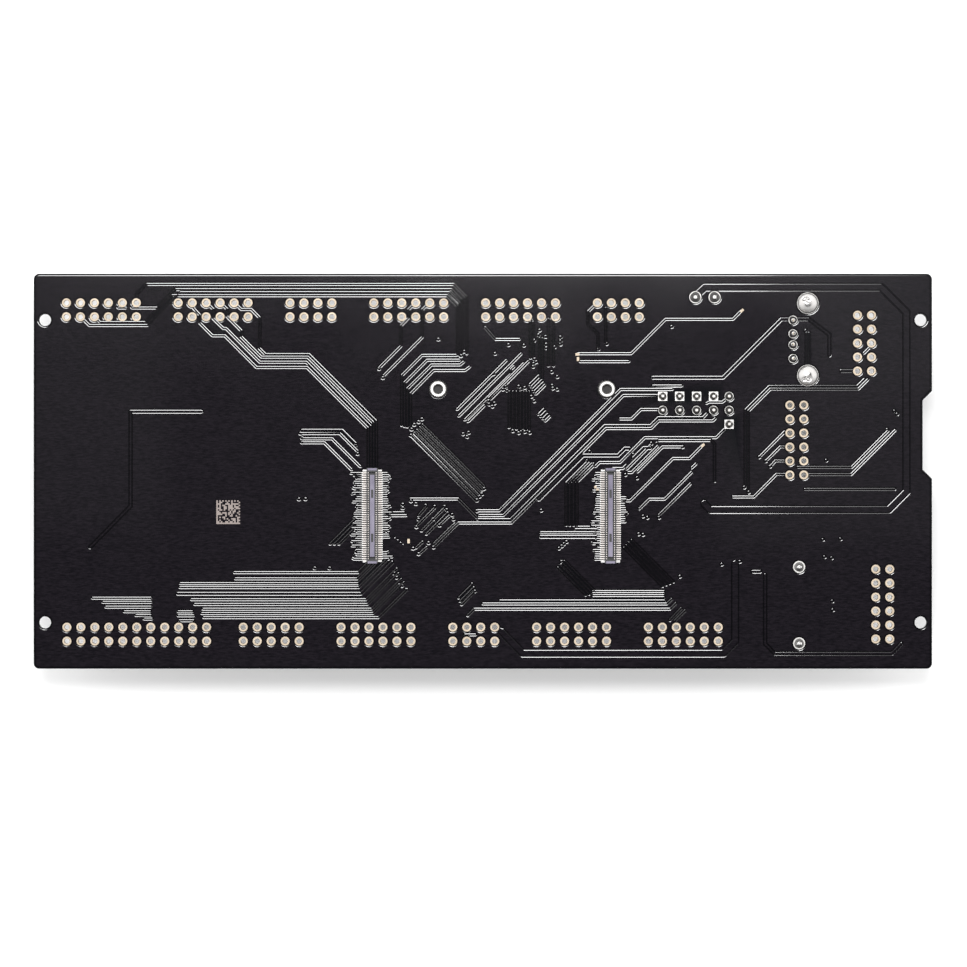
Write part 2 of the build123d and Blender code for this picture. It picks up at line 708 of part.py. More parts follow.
def capacitors():
    """The ceramic capacitors: a body between two plated end caps, all lying along X."""
    length, width, height = CAPACITOR
    places = [(x, y, COMPONENT_SIDE) for x, y in CAPACITORS]
    with BuildPart() as bodies:
        with Locations(*places):
            Box(length - 2 * CAPACITOR_CAP, width, height, align=TOP)
    finish(bodies, "capacitor_bodies")
    with BuildPart() as caps:
        with Locations(*places):
            with GridLocations(length - CAPACITOR_CAP, 0, 2, 1):
                Box(CAPACITOR_CAP, width, height, align=TOP)
    finish(caps, "capacitor_caps")


def wall_taper(joint):
    """The angle by which a joint's wall leans in from the upright."""
    return degrees(atan2((joint.foot - joint.top) / 2, joint.height))


def solder_cones(joint, places, pin, name):
    """Tapered solder joints standing on the board round pins of one section."""
    with BuildPart() as cones:
        with BuildSketch(Plane.XY.offset(SOLDER_SIDE)):
            with Locations(*places):
                RegularPolygon(joint.foot / 2, JOINT_SIDES)
        extrude(amount=joint.height, taper=wall_taper(joint))
        with Locations(*[(x, y, SOLDER_SIDE) for x, y in places]):
            Box(*pin, joint.height, align=BOTTOM, mode=Mode.SUBTRACT)
    finish(cones, name)


def tab_solder():
    """The two large joints over the shell's tabs, each a dome of a steep shoulder and a flatter crown."""
    tab_y = USB_SHELL[1] / 2 - USB_SHEET / 2
    with BuildPart() as domes:
        with BuildSketch(Plane.XY.offset(SOLDER_SIDE)):
            with Locations(*usb_tab_places()):
                RegularPolygon(TAB_SHOULDER.foot / 2, JOINT_SIDES)
        extrude(amount=TAB_SHOULDER.height, taper=wall_taper(TAB_SHOULDER))
        shoulders = domes.faces().sort_by(Axis.Z)[-2:]
        extrude(shoulders, amount=TAB_CROWN.height, taper=wall_taper(TAB_CROWN))
        with Locations((*USB, SOLDER_SIDE)):
            with GridLocations(0, 2 * tab_y, 1, 2):
                Box(USB_TAB_WIDTH, USB_SHEET, USB_TAB_REACH, align=BOTTOM, mode=Mode.SUBTRACT)
    finish(domes, "tab_solder")


def solder():
    """Every solder joint on the solder side, by the kind of pin that it holds."""
    jumper_pins = [pin for pins in jumper_places().values() for pin in pins]
    solder_cones(PIN_JOINT, jumper_pins, (PIN, PIN), "header_pin_solder")
    solder_cones(PIN_JOINT, usb_pin_places(), (USB_CONTACT[0], USB_PIN_WIDTH), "usb_pin_solder")
    solder_cones(POWER_JOINT, power_pin_places(), (POWER_PIN, POWER_PIN), "power_pin_solder")
    solder_cones(LEG_JOINT, retainer_leg_places(), (RETAINER_LEG_WIDTH, RETAINER_SHEET), "retainer_solder")
    tab_solder()


def main():
    os.makedirs("parts", exist_ok=True)
    circuit_board()
    for side in ("left", "right"):
        mezzanine_housing(side)
        mezzanine_contacts(side)
        mezzanine_anchors(side)
        spacer(side)
    usb_shell()
    usb_contacts()
    usb_insulator()
    power_header_housing()
    power_mouth = COMPONENT_SIDE - POWER_BODY[2]
    power_top = SOLDER_SIDE + PIN_ABOVE_BOARD
    tapered_pins(power_pin_places(), POWER_PIN, power_mouth + POWER_WALL, power_top, "power_header_pins")
    headers()
    coin_cell_retainer()
    card_socket_cover()
    card_socket_base()
    card_socket_contacts()
    chip()
    regulator()
    inductor()
    capacitors()
    solder()


main()
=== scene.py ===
"""Looks for the breakout board: solder mask with its traces in relief, plated holes, solder and light.

Plan places and sizes are in millimetres from the frame's origin, as the part's are. They become metres
when a mesh is made.
"""

import json
import math
import random

import bpy
import numpy as np
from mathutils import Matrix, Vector
from mathutils.geometry import delaunay_2d_cdt


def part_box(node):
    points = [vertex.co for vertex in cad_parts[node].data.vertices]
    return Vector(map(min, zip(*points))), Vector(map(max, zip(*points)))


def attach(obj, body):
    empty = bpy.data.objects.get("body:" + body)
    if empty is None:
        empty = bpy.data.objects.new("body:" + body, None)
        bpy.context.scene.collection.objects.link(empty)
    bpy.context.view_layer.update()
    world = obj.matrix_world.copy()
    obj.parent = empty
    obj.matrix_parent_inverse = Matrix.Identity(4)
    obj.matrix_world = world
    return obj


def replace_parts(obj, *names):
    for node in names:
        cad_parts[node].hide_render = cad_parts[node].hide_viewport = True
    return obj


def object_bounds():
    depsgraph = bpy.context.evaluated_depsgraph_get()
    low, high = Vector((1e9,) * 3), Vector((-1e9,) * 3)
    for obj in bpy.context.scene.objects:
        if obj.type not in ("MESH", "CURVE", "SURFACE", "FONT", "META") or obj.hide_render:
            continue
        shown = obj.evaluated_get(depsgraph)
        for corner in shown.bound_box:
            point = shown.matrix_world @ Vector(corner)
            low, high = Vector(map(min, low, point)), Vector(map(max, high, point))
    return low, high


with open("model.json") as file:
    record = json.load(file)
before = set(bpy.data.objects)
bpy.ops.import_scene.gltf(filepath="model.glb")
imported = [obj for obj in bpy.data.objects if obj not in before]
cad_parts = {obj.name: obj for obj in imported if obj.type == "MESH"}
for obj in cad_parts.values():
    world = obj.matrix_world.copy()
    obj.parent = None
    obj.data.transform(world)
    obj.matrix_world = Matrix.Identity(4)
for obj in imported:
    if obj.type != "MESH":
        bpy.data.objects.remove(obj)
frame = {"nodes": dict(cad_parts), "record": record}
cad_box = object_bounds()

MM = 0.001
board_low, board_high = (np.array(corner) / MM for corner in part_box("circuit_board"))
BOARD_TOP = board_high[2]
BOARD_UNDERSIDE = board_low[2]
HALF_LENGTH, HALF_WIDTH = board_high[:2]
FLOOR_LEVEL = cad_box[0][2]

# The board's plan, as its CAD solid has it
BOARD_CORNER = 1.0
CORNER_STEPS = 6
NOTCH_Y = 6.6
NOTCH_HALF = 8.0
NOTCH_DEPTH = 1.7

# The mask: its thickness, how far copper lifts it, and the width of the slope between
BARE_MASK = 0.01
RELIEF = 0.0102
SLOPE = 0.09

# Poured copper: its gap round a trace, and how far it keeps from the board's edge
GAP = 0.3
POUR_INSET = 0.3

# Half widths of traces, and radii of vias and of the hollows in vias joined to the pour
TRACE = 0.05
THICK = 0.13
WIDE = 0.48
FINE = 0.04
VIA = 0.145
FINE_VIA = FINE + 0.03
DIMPLE = 0.08
VIA_SIDES = 10
FINE_VIA_SIDES = 8
LIT_SHIFT = (0.03, 0.22)

# Pads stand proud with an eased lip, each in a slightly larger window in the mask
PITCH = 2.54
PAD = 0.82
OPENING = 0.86
BORE = 0.48
SPACER_OPENING = 1.56
PAD_LIFT = 0.035
PAD_LIP = 0.03
PAD_SIDES = 24
LARGE_SIDES = 32

# Mounting holes, and the ring of bare laminate round each
MOUNTING_HOLE = 1.11
MOUNTING_CLEAR = 1.3


def grid(x, y, columns, rows):
    """Places on the header pitch about a middle."""
    return [
        (x + (column - (columns - 1) / 2) * PITCH, y + (row - (rows - 1) / 2) * PITCH)
        for column in range(columns)
        for row in range(rows)
    ]


def header_places():
    """Every open header hole, as the CAD board is drilled."""
    places = []
    top_runs = [(0, 6), (8, 6), (16, 4), (22, 6), (30, 6), (38, 4)]
    bottom_runs = [(0, 5), (7, 6), (15, 4), (21, 6), (29, 6)]
    for x, y, runs in [(-75.7, 29.35, top_runs), (-43.56, -29.62, bottom_runs)]:
        for step, columns in runs:
            places += grid(x + (step + (columns - 1) / 2) * PITCH, y, columns, 2)
    blocks = [(-75.62 + 5 * PITCH, -29.62, 11, 2), (69.39, 23.29, 2, 5)]
    blocks += [(57.08, 5.67, 2, 6), (72.7, -24.15, 2, 6)]
    for block in blocks:
        places += grid(*block)
    return places


MOUNTING_HOLES = [(x, y) for x in (-79.6, 79.6) for y in (-27.5, 27.5)]
SPACERS = {"spacer_left": (-8.13, 14.92), "spacer_right": (22.54, 14.92)}
USB = (59.08, 23.98)
USB_PINS = [(USB[0] - 2.69, USB[1] + offset) for offset in (-3.5, -1.0, 1.0, 3.5)]
USB_TABS = [(USB[0], USB[1] + side * 6.57) for side in (-1, 1)]
POWER_PINS = [(40.38 + side * 1.75, 31.63) for side in (-1, 1)]
RETAINER_LEGS = [(57.5, -24.35 + side * 6.95) for side in (-1, 1)]
SQUARE_PINS = [(32.7 + 3.08 * index, 13.63) for index in range(4)] + [(44.77, 8.55)]
ROUND_PINS = [(32.7 + 3.08 * index, 11.09) for index in range(4)] + [(44.77, 13.63), (44.77, 11.09)]

# Round pads under joints: their places, radius, window and sides
SOLDERED_PADS = [
    (ROUND_PINS + USB_PINS, PAD, OPENING, PAD_SIDES),
    (POWER_PINS + RETAINER_LEGS, 1.1, 1.15, PAD_SIDES),
    (USB_TABS, 1.95, 2.0, LARGE_SIDES),
]

# The two sockets, their rows of feet, and the field round each with no poured copper
MEZZANINES = {"left": -20.1, "right": 23.2}
MEZZANINE_Y = -8.1
FOOT_REACH = 1.74
CONTACT_PITCH = 0.4
CONTACTS = 40
CONTACT_ROWS = [(index - (CONTACTS - 1) / 2) * CONTACT_PITCH for index in range(CONTACTS)]
SOCKET_FIELD = 8.5

# A foot's short route: what may lengthen it, its jogs, a jog's length, and the share with a via
LONGER = [0, 0, 0, 0.6]
JOGS = [-0.16, 0, 0, 0, 0, 0, 0, 0.16]
JOG_LENGTH = 0.25
WITH_VIA = 0.25

# Fan-outs from the sockets' feet: the socket, the side, the range of rows and the range of reach
FAN_OUTS = [
    ("left", -1, (-8, 8), (0.9, 1.6)),
    ("left", 1, (-3.9, 8), (0.8, 1.3)),
    ("left", 1, (-8, -6.3), (0.8, 1.3)),
    ("right", -1, (-8, 8), (0.6, 1.1)),
    ("right", 1, (-1.1, 3.5), (0.7, 1.1)),
]


def shifted(points):
    """Places read midway between a trace's lit edges, moved to the middle of its copper."""
    return [(x + LIT_SHIFT[0], y + LIT_SHIFT[1]) for x, y in points]


def between(first, last, count):
    """A bundle: routes spread evenly from one to another with as many points."""
    bundle = []
    for index in range(count):
        t = index / (count - 1)
        pairs = zip(first, last)
        bundle.append([(ax + (bx - ax) * t, ay + (by - ay) * t) for (ax, ay), (bx, by) in pairs])
    return bundle


# Routes on the solder side, by the part of the board that they cross
TOP_LEFT = [
    [(-63, 30.6), (-63, 31.9), (-61.1, 33.85), (-5.3, 33.85), (-2.95, 31.5), (-2.95, 21.2)],
    [(-66.3, 29.55), (-64.9, 29.55)],
    [(-63.8, 29.55), (-59.2, 29.55), (-55.85, 32.9), (-5.7, 32.9), (-3.83, 30.98), (-3.83, 21.3)],
    [
        (-73.1, 27.95), (-71.53, 26.38), (-61, 26.38), (-55.03, 32.35), (-6.15, 32.35), (-4.2, 30.4),
        (-4.2, 20.8),
    ],
    [
        (-70.6, 27.95), (-69.57, 26.92), (-61.4, 26.92), (-56.52, 31.8), (-6.5, 31.8), (-4.6, 29.9),
        (-4.6, 21),
    ],
    [
        (-52.84, 30.61), (-52.5, 29.4), (-51.4, 28.2), (-51.4, 26.75), (-49.15, 24.5), (-46.9, 24.5),
        (-41.15, 18.75), (-31.95, 18.75), (-20.9, 7.7), (-20.9, -0.6),
    ],
    [
        (-50.3, 30.61), (-49, 29.3), (-49, 27.6), (-47.2, 25.85), (-46.7, 25.85), (-40.55, 19.7),
        (-32.1, 19.7), (-20.4, 8), (-20.4, -0.6),
    ],
    [
        (-47.76, 30.61), (-46.5, 29.35), (-46.5, 28), (-43.9, 25.4), (-43.9, 24.3), (-40.25, 20.62),
        (-31.8, 20.62), (-19.9, 8.67), (-19.9, -0.6),
    ],
    [
        (-45.22, 30.61), (-43.95, 29.3), (-42.1, 29.3), (-40.6, 27.8), (-40.6, 22.2), (-39.5, 21.1),
        (-31.6, 21.1), (-19.4, 8.95), (-19.4, -0.6),
    ],
    [(-33.2, 6.73), (-26, 6.73), (-22.8, 3.5)], [(-32.8, 5.78), (-27.4, 5.78), (-22.3, 0.7)],
    [(-32.9, 5.05), (-28.8, 5.05), (-23.9, 0.15)],
    [(-12.2, 30.61), (-13.65, 29.2), (-13.65, 27.65), (-14.95, 26.3), (-14.95, 22.6), (-18.85, 18.7)],
    [(-9.66, 30.61), (-11.1, 29.2), (-11.1, 24.2), (-18.1, 17.2)],
    [(-4.9, 20.95), (-11.1, 20.95), (-14.8, 17.25), (-14.8, 8.2)],
    [(-4.3, 20.07), (-10.2, 20.07), (-14.3, 15.95), (-14.3, 8)],
    [(-3.6, 19.7), (-4.2, 19.2), (-9.4, 19.2), (-13.8, 14.85), (-13.8, 7.9)],
    [(-2.5, 18.8), (-3.3, 18.2), (-9, 18.2), (-13.2, 13.95), (-13.2, 7.6)],
    *between([(-11, 8.3), (0.2, -2.9)], [(-13, 6.3), (-1.1, -5.6)], 5),
]

MIDDLE = [
    [(4.2, 20), (-4.7, 11.1)], [(6.9, 21.2), (-4.4, 9.9)],
    [(5.6, 18.9), (5, 18.3), (5, 17.5), (-0.7, 11.8)],
    [(7.3, 19.4), (4.6, 16.7), (1, 13.1)], [(8.2, 19.8), (4.2, 15.8), (1.4, 13)],
    [(-3.3, 9.2), (-0.4, 12.1)], [(-2.7, 8.9), (0.2, 11.8)],
    [(0.4, 26), (2.3, 23.85), (6.6, 23.85)],
    *between([(8.5, 15.6), (10.1, 17.2)], [(9.6, 13.9), (11.2, 15.5)], 5),
    *between([(10.1, 10.2), (11, 11.1)], [(11.3, 9), (12.1, 9.8)], 4),
    *between([(8.6, 27), (8.6, 20.4)], [(9.1, 27), (9.1, 20.4)], 2),
    *between([(10.3, 24), (10.3, 16.4)], [(10.8, 24), (10.8, 16.4)], 2),
    *between([(11.9, 27.5), (11.9, 19)], [(12.8, 27.5), (12.8, 19)], 2),
    *between([(4.75, 14.3), (4.75, 7.8)], [(6.75, 14.3), (6.75, 7.4)], 4),
    *between([(7.4, 14.3), (7.4, 7.6)], [(8.4, 14.3), (8.4, 7.4)], 3),
]

UPPER_RIGHT = [
    [(20.82, 30.61), (19.1, 28.9), (19.1, 26.5), (20.95, 24.7), (20.95, 22)],
    [(22.35, 29.5), (22.35, 23.2)],
    [(17.2, 21.25), (26.9, 21.25), (33.15, 27.5), (45.4, 27.5), (46.9, 29)],
    [(17.35, 20.3), (17.6, 19.8), (26.5, 19.8)],
    [(34.4, 14.75), (24.98, 14.75), (2.94, -7.3), (-0.9, -7.3)],
    [(31.8, 13.66), (25.49, 13.66), (3.67, -8.16), (-0.7, -8.16)],
    [
        (40.6, 10.3), (39.95, 9.62), (31.85, 9.62), (30.41, 8.18), (22.09, 8.18), (4.99, -8.92),
        (-0.9, -8.92),
    ],
    [
        (42.2, 9.45), (41.75, 9.03), (31.9, 9.03), (30.52, 7.65), (22.31, 7.65), (5.12, -9.53),
        (-4.5, -9.53), (-9, -14),
    ],
    [(24.9, 9.38), (26.95, 9.38), (28.68, 11.11), (31.9, 11.11)],
    [(20.4, 0.72), (21.15, 1.47), (24.87, 1.47), (29.38, 5.98), (42.35, 5.98), (44.1, 7.73)],
    [(32, 5.46), (41.4, 5.46), (42.1, 4.76), (42.1, -2)],
    [(30.9, 15.38), (36.1, 15.38)],
    [(40.6, 12.2), (41.1, 12.45), (43.5, 12.45), (44.4, 13.2)],
    [(39.9, 4.6), (37.5, 2.2), (34.5, 2.2), (26.7, -5.5), (25, -5.5)],
    [(36.1, 4.3), (32.6, 4.3), (28.05, -0.26)], [(26.4, -0.35), (26.98, -0.35), (31.75, 4.42)],
    [(26.1, 0.26), (30.55, 4.71)],
    [(23.6, 0.38), (25.4, 0.38), (26, 0.98)],
    *between([(15.1, -10), (15.1, -2.28), (18.9, 1.52)], [(17.1, -10), (17.1, -2.07), (20.2, 1.03)], 4),
]
RIGHT = [
    [(69.3, 16.6), (68, 15.3), (52, 15.3), (47.7, 11), (47.7, -3)],
    [(69.9, 16.5), (68.2, 14.8), (52.2, 14.8), (48.2, 10.8), (48.2, -3.5)],
    [(54.8, 7.05), (50.2, 2.4)],
    [(54.8, 4.3), (54, 4.3), (51.4, 1.7)], [(54.8, 1.75), (53.1, 1.75), (52.2, 0.7)],
    [(57.2, 0.58), (67, 0.58), (73.6, 7.2)], [(59.3, -0.73), (66.9, -0.73), (74.9, 7.3)],
    [(58.5, -3.42), (74.9, -3.42)], [(69.2, 21.3), (70.3, 22.4)], [(58.8, 25), (58.8, 19)],
    [(59.3, 25), (59.3, 19)],
    [(28.4, -7), (30.2, -5.2), (33, -5.2), (37.9, -0.3)],
    [(37.9, 0.45), (38.7, 1.2)], [(31.9, -8.2), (37.7, -2.4)],
    [(45.4, -4.8), (49.2, -4.8), (53.3, -0.7), (55.8, -0.7)],
    [(33.9, -27.3), (36, -25.1)], [(34.8, -27.4), (36.7, -25.5)],
]

BOTTOM_LEFT = [
    [(-71, -23.2), (-60.4, -23.2)], [(-69.1, -23.95), (-60.3, -23.95)],
    [(-68.6, -24.83), (-60.4, -24.83)], [(-65.2, -25.67), (-60.5, -25.67)],
    [(-63.1, -26.35), (-60.4, -26.35)], [(-61.6, -27), (-60.2, -27)], [(-55.4, -25.67), (-52.9, -25.67)],
    [(-55.4, -26.4), (-52.6, -26.4)], [(-55.2, -27.3), (-52.6, -27.3)],
    [(-45.2, -18.55), (-22.7, -18.55), (-19.9, -15.75)], [(-45, -19.68), (-22.9, -19.68), (-19.2, -15.98)],
    [(-55, -20.55), (-22.7, -20.55), (-18.3, -16.15)], [(-55.1, -21.27), (-22.6, -21.27), (-17.5, -16.2)],
    [(-53, -23.47), (-21.3, -23.47), (-15.7, -17.9)], [(-52.4, -24.33), (-21, -24.33), (-15.4, -18.75)],
    [(-50.9, -25.2), (-20.3, -25.2), (-14.9, -19.8)], [(-51.1, -25.98), (-20, -25.98), (-14.4, -20.4)],
    [(-50.8, -26.73), (-19, -26.73), (-13.8, -21.6)],
    *between([(-23.4, -9), (-27.8, -13.4)], [(-23.4, -10.6), (-26.2, -13.4)], 3),
]
BOTTOM_MIDDLE = [
    [(-13.2, -5.17), (-4.5, -5.17), (-1.1, -8.6)],
    [(-16.3, -7.67), (-14.4, -7.67)], [(-16.7, -8.2), (-14, -8.2)], [(-10.3, -6.6), (-11.7, -8.2)],
    [(-8.8, -6.8), (-12, -10)], [(-7, -6.8), (-11.2, -11)], [(-6.6, -7.9), (-10.3, -11.6)],
    [(-6.2, -8.3), (-8, -10)], [(-11, -13), (-12.2, -14.1)], [(-10.3, -14), (-11.4, -15)],
    [(-5.2, -9.7), (-9, -13.4)],
    *between([(-4.4, -23.2), (-1.9, -20.7)], [(-3.9, -24.4), (-1.4, -21.9)], 3),
    [(10.5, -11.3), (20.3, -11.3)], [(16.8, -10.73), (21, -10.73)],
    *between([(27, -12.7), (34.6, -20.3)], [(25.6, -14.1), (32.6, -21.1)], 4),
    [(17.3, -10.3), (19.4, -10.3)],
    *between([(14.8, -16.5), (20.5, -22.2)], [(13.6, -17.7), (18.6, -22.7)], 4),
    *between([(20, -22), (32.9, -22)], [(20, -23.1), (32.9, -23.1)], 4),
    [(3.1, -23.7), (33, -23.7)],
    [(0, -24.25), (33.4, -24.25), (34.3, -23.4)],
    [(-2.8, -26.4), (-1.6, -25.2), (34, -25.2), (35, -24.2)],
    [(-3.3, -29.88), (-1.4, -29.88)],
]

THICK_ROUTES = [
    [(-51.2, 10.7), (-64.1, 10.7), (-64.1, -6.6), (-71.4, -14)],
    [(-32.9, 7.25), (-25.6, 7.25), (-23.2, 4.85)],
    [(10.1, -5.32), (18.16, 2.74), (24.5, 2.74), (25.75, 4), (26.7, 4)],
    [(27.3, 2.2), (29.2, 4.1), (30.4, 4.1)],
    [(30.8, 16.88), (43.6, 16.88), (54.2, 27.48), (59.2, 27.48), (63, 24.6), (63, 20.9)],
    [(65.1, 18.1), (67.3, 18.1)],
    [(51.3, -19), (51.3, -31.6), (53, -33.33), (74.3, -33.33), (76.1, -31.5)],
    [(49, -18.4), (50.4, -18.4)],
    [(-55.5, -22.4), (-22.2, -22.4), (-16.5, -16.7)],
    [(10.5, -12.05), (20.6, -12.05)],
]
WIDE_ROUTES = [
    [
        (38.61, 31.63), (40.3, 33.25), (72.4, 33.25), (77, 28.65), (77, -3.9), (73.75, -7.17),
        (41.3, -7.17), (40.2, -6.1),
    ],
    [(3.3, -29.3), (7.2, -33.3), (43.7, -33.3), (45.85, -31.15), (45.85, -17)],
]

# Routes by half width
ROUTES = [
    (TRACE, TOP_LEFT + MIDDLE + UPPER_RIGHT + RIGHT + BOTTOM_LEFT + BOTTOM_MIDDLE),
    (THICK, THICK_ROUTES),
    (WIDE, WIDE_ROUTES),
]

# Vias that end a route, or stand alone beside one
VIAS = [
    (-4, 20.8), (-3.4, 21.6), (-71.4, -14), (-23.2, 4.5), (-22.8, 3), (-33.2, 6.7), (-32.9, 5.9),
    (-32.9, 5.1), (-18.9, 18.45), (-18.2, 16.8), (-11.1, 9.3), (-11.7, 8.8), (-12.5, 8.3), (-13, 7.45),
    (-13.1, 6.35), (0.2, -3.34), (-0.21, -4.32), (-0.63, -4.75), (-1.06, -5.42), (-1.1, -7.4),
    (-3.6, 6.6), (-2.6, 6.85), (-2.9, 6.1), (-8.1, 23.8), (4.65, 22.8), (7.45, 22.7), (2.2, 21.2),
    (10.3, 25.45), (10.1, 24.6), (9.3, 23.6), (11.4, 24.3), (11.5, 22.9), (11.5, 22.25), (13, 22.4),
    (14.1, 24.2), (14.1, 23.5), (14.1, 22.9), (9.4, 20.2), (9.2, 19.4), (9.1, 18.85), (9.7, 19.7),
    (1.9, 17.5), (12.5, 17.9), (13.5, 17), (12.6, 15.4), (12.7, 14.9), (13.5, 14.7), (6.5, 15.25),
    (6.8, 14.75), (7.6, 15), (4.1, 15.2), (3.6, 14.7), (4.4, 14.5), (9.3, 12.6), (8.8, 13.4), (1, 12.6),
    (1.1, 12), (1.7, 11.6), (2.1, 12.2), (5.4, 7.15), (6.5, 6.8), (7.6, 7), (8.5, 6.85), (20.95, 22),
    (22.5, 23), (36.3, 4.25), (34.3, 26.1), (40.2, -5.7), (50.2, 2.4), (51.4, 1.7), (52.2, 0.7),
    (73.5, 7.4), (74.8, 10.75), (75.3, 10.2), (62.4, 1.8), (58.7, 25.4), (-33.45, -5.25), (-32.27, -5.22),
    (-30.6, -17.8), (-27.9, -17.8), (-16.2, -18.7), (-15.7, -19.5), (-15.2, -20.3), (-14.7, -21),
    (-14, -21.7), (-14.6, -6.2), (-14.6, -6.85), (-13.1, -5.6), (-12.2, -6.1), (-10.4, -6.4),
    (-8.8, -6.6), (-7, -6.6), (-6.6, -7.2), (-6.5, -7.8), (-5.6, -8.1), (-5.4, -8.9), (-11.7, -8.9),
    (-12.1, -10.3), (-9.1, -8.9), (-7.9, -10), (-9.9, -13.2), (-9, -14), (-12.7, -14.2), (-11.7, -15.2),
    (-2, -20.7), (-1.7, -21.4), (-1.5, -22), (13.8, -14.2), (14.3, -13.8), (14.7, -13.4), (15.2, -13),
    (14.3, -16.6), (14.2, -17.2), (10.6, -7.3), (32, -8.6), (29.1, -8.35), (29.9, -8.6), (29.1, -11.7),
    (28.3, -11.6), (43.4, -17.1), (46.7, -16.6), (35.8, -19.3), (47.5, -3.1), (48.3, -4), (61.8, -12.6),
    (65, -12.5), (62.1, -15.75), (63.4, -15.95), (63.5, -23.8), (63.6, -25.4), (25.9, -0.8), (28, -1.4),
    (19.4, 3.4), (18.9, 1.7), (20.1, 1.1), (27.3, 2.9), (29, 3.8), (30.6, 4.9), (31.6, 4.9), (25.9, -8),
    (25.8, -9),
]

# Vias joined to the poured copper, which show only their hollow
DIMPLES = [(-16, -12), (-15.45, -12.35), (-14.95, -12.8), (-14.5, -13.2)]

# Bare gold: route ends with their directions, then a test pad and two patches as plan boxes
GOLD_ENDS = [((47.1, 29.2), (1, 1)), ((40, 4.7), (1, 1)), ((17.2, 21.25), (1, 0)), ((17.3, 20.4), (0, 1))]
GOLD_PATCHES = [
    ((-13.72, -13.1), (-13.28, -12.3)), ((20.25, -3.1), (20.7, -2.65)), ((20.6, -3.5), (21.1, -3.15)),
]

# The softbox, its dimmer surround and faint side panels: plan corners, level and radiance
SOFTBOXES = [
    ("key", (-25, 84), (85, 236), 715, 25),
    ("key_left", (-130, 104), (-25, 236), 715, 20),
    ("key_side", (-165, 112), (-130, 236), 715, 15),
    ("surround_far", (-200, 136), (130, 250), 720, 4),
    ("surround_near", (-125, 72), (88, 136), 720, 4),
    ("surround_left", (-200, 72), (-125, 136), 720, 1.4),
    ("surround_right", (88, 72), (130, 136), 720, 1.7),
    ("glow_corner", (95, 25), (190, 72), 725, 0.24),
    ("glow_right", (70, -20), (190, 25), 725, 0.12),
    ("glow_left", (-190, -15), (-95, 60), 725, 0.09),
]

# ---- materials


def material(name, colour, roughness, metallic=0.0, **inputs):
    """A Principled material with one colour, and any other inputs by name."""
    made = bpy.data.materials.new(name)
    made.use_nodes = True
    shader = shader_of(made)
    shader.inputs["Base Color"].default_value = (*colour, 1)
    shader.inputs["Roughness"].default_value = roughness
    shader.inputs["Metallic"].default_value = metallic
    for socket, value in inputs.items():
        shader.inputs[socket.replace("_", " ")].default_value = value
    return made


def shader_of(made):
    """A material's Principled shader."""
    return made.node_tree.nodes["Principled BSDF"]


def link(made, source, socket):
    """Joins two sockets of nodes."""
    made.node_tree.links.new(source, socket)


def add_node(made, kind, **values):
    """A new node, with some of its settings."""
    node = made.node_tree.nodes.new(kind)
    for name, value in values.items():
        setattr(node, name, value)
    return node


def noise(made, scale, detail=2.0, stretch=(1, 1, 1)):
    """Object-space noise, its grain stretched along the axes."""
    place = add_node(made, "ShaderNodeTexCoord")
    mapping = add_node(made, "ShaderNodeMapping")
    mapping.inputs["Scale"].default_value = stretch
    texture = add_node(made, "ShaderNodeTexNoise")
    texture.inputs["Scale"].default_value = scale
    texture.inputs["Detail"].default_value = detail
    link(made, place.outputs["Object"], mapping.inputs["Vector"])
    link(made, mapping.outputs["Vector"], texture.inputs["Vector"])
    return texture.outputs["Fac"]


def ramp(made, source, stops):
    """A colour ramp over a value. Its stops are (position, grey or colour)."""
    node = add_node(made, "ShaderNodeValToRGB")
    elements = node.color_ramp.elements
    for index, (position, colour) in enumerate(stops):
        element = elements[index] if index < 2 else elements.new(position)
        element.position = position
        element.color = (*colour, 1) if isinstance(colour, tuple) else (colour, colour, colour, 1)
    link(made, source, node.inputs["Fac"])
    return node.outputs["Color"]


def bump(made, source, distance, strength):
    """Shades the face as if the source raised it by up to a distance."""
    node = add_node(made, "ShaderNodeBump")
    node.inputs["Strength"].default_value = strength
    node.inputs["Distance"].default_value = distance * MM
    link(made, source, node.inputs["Height"])
    link(made, node.outputs["Normal"], shader_of(made).inputs["Normal"])


def vary(made, socket, source, stops):
    """Drives one of the shader's inputs with a ramp."""
    link(made, ramp(made, source, stops), shader_of(made).inputs[socket])


def over_copper(made):
    """How far copper lifts the mask at a place: 0 on bare laminate and 1 on copper. The mask's painted
    groove shade follows it.
    """
    place = add_node(made, "ShaderNodeTexCoord")
    split = add_node(made, "ShaderNodeSeparateXYZ")
    centred = add_node(made, "ShaderNodeMath", operation="SUBTRACT")
    outwards = add_node(made, "ShaderNodeMath", operation="ABSOLUTE")
    lift = add_node(made, "ShaderNodeMapRange")
    half = (BOARD_TOP - BOARD_UNDERSIDE) / 2
    centred.inputs[1].default_value = (BOARD_TOP + BOARD_UNDERSIDE) / 2 * MM
    lift.inputs["From Min"].default_value = (half + BARE_MASK) * MM
    lift.inputs["From Max"].default_value = (half + BARE_MASK + RELIEF) * MM
    link(made, place.outputs["Object"], split.inputs["Vector"])
    link(made, split.outputs["Z"], centred.inputs[0])
    link(made, centred.outputs["Value"], outwards.inputs[0])
    link(made, outwards.outputs["Value"], lift.inputs["Value"])
    return lift.outputs["Result"]


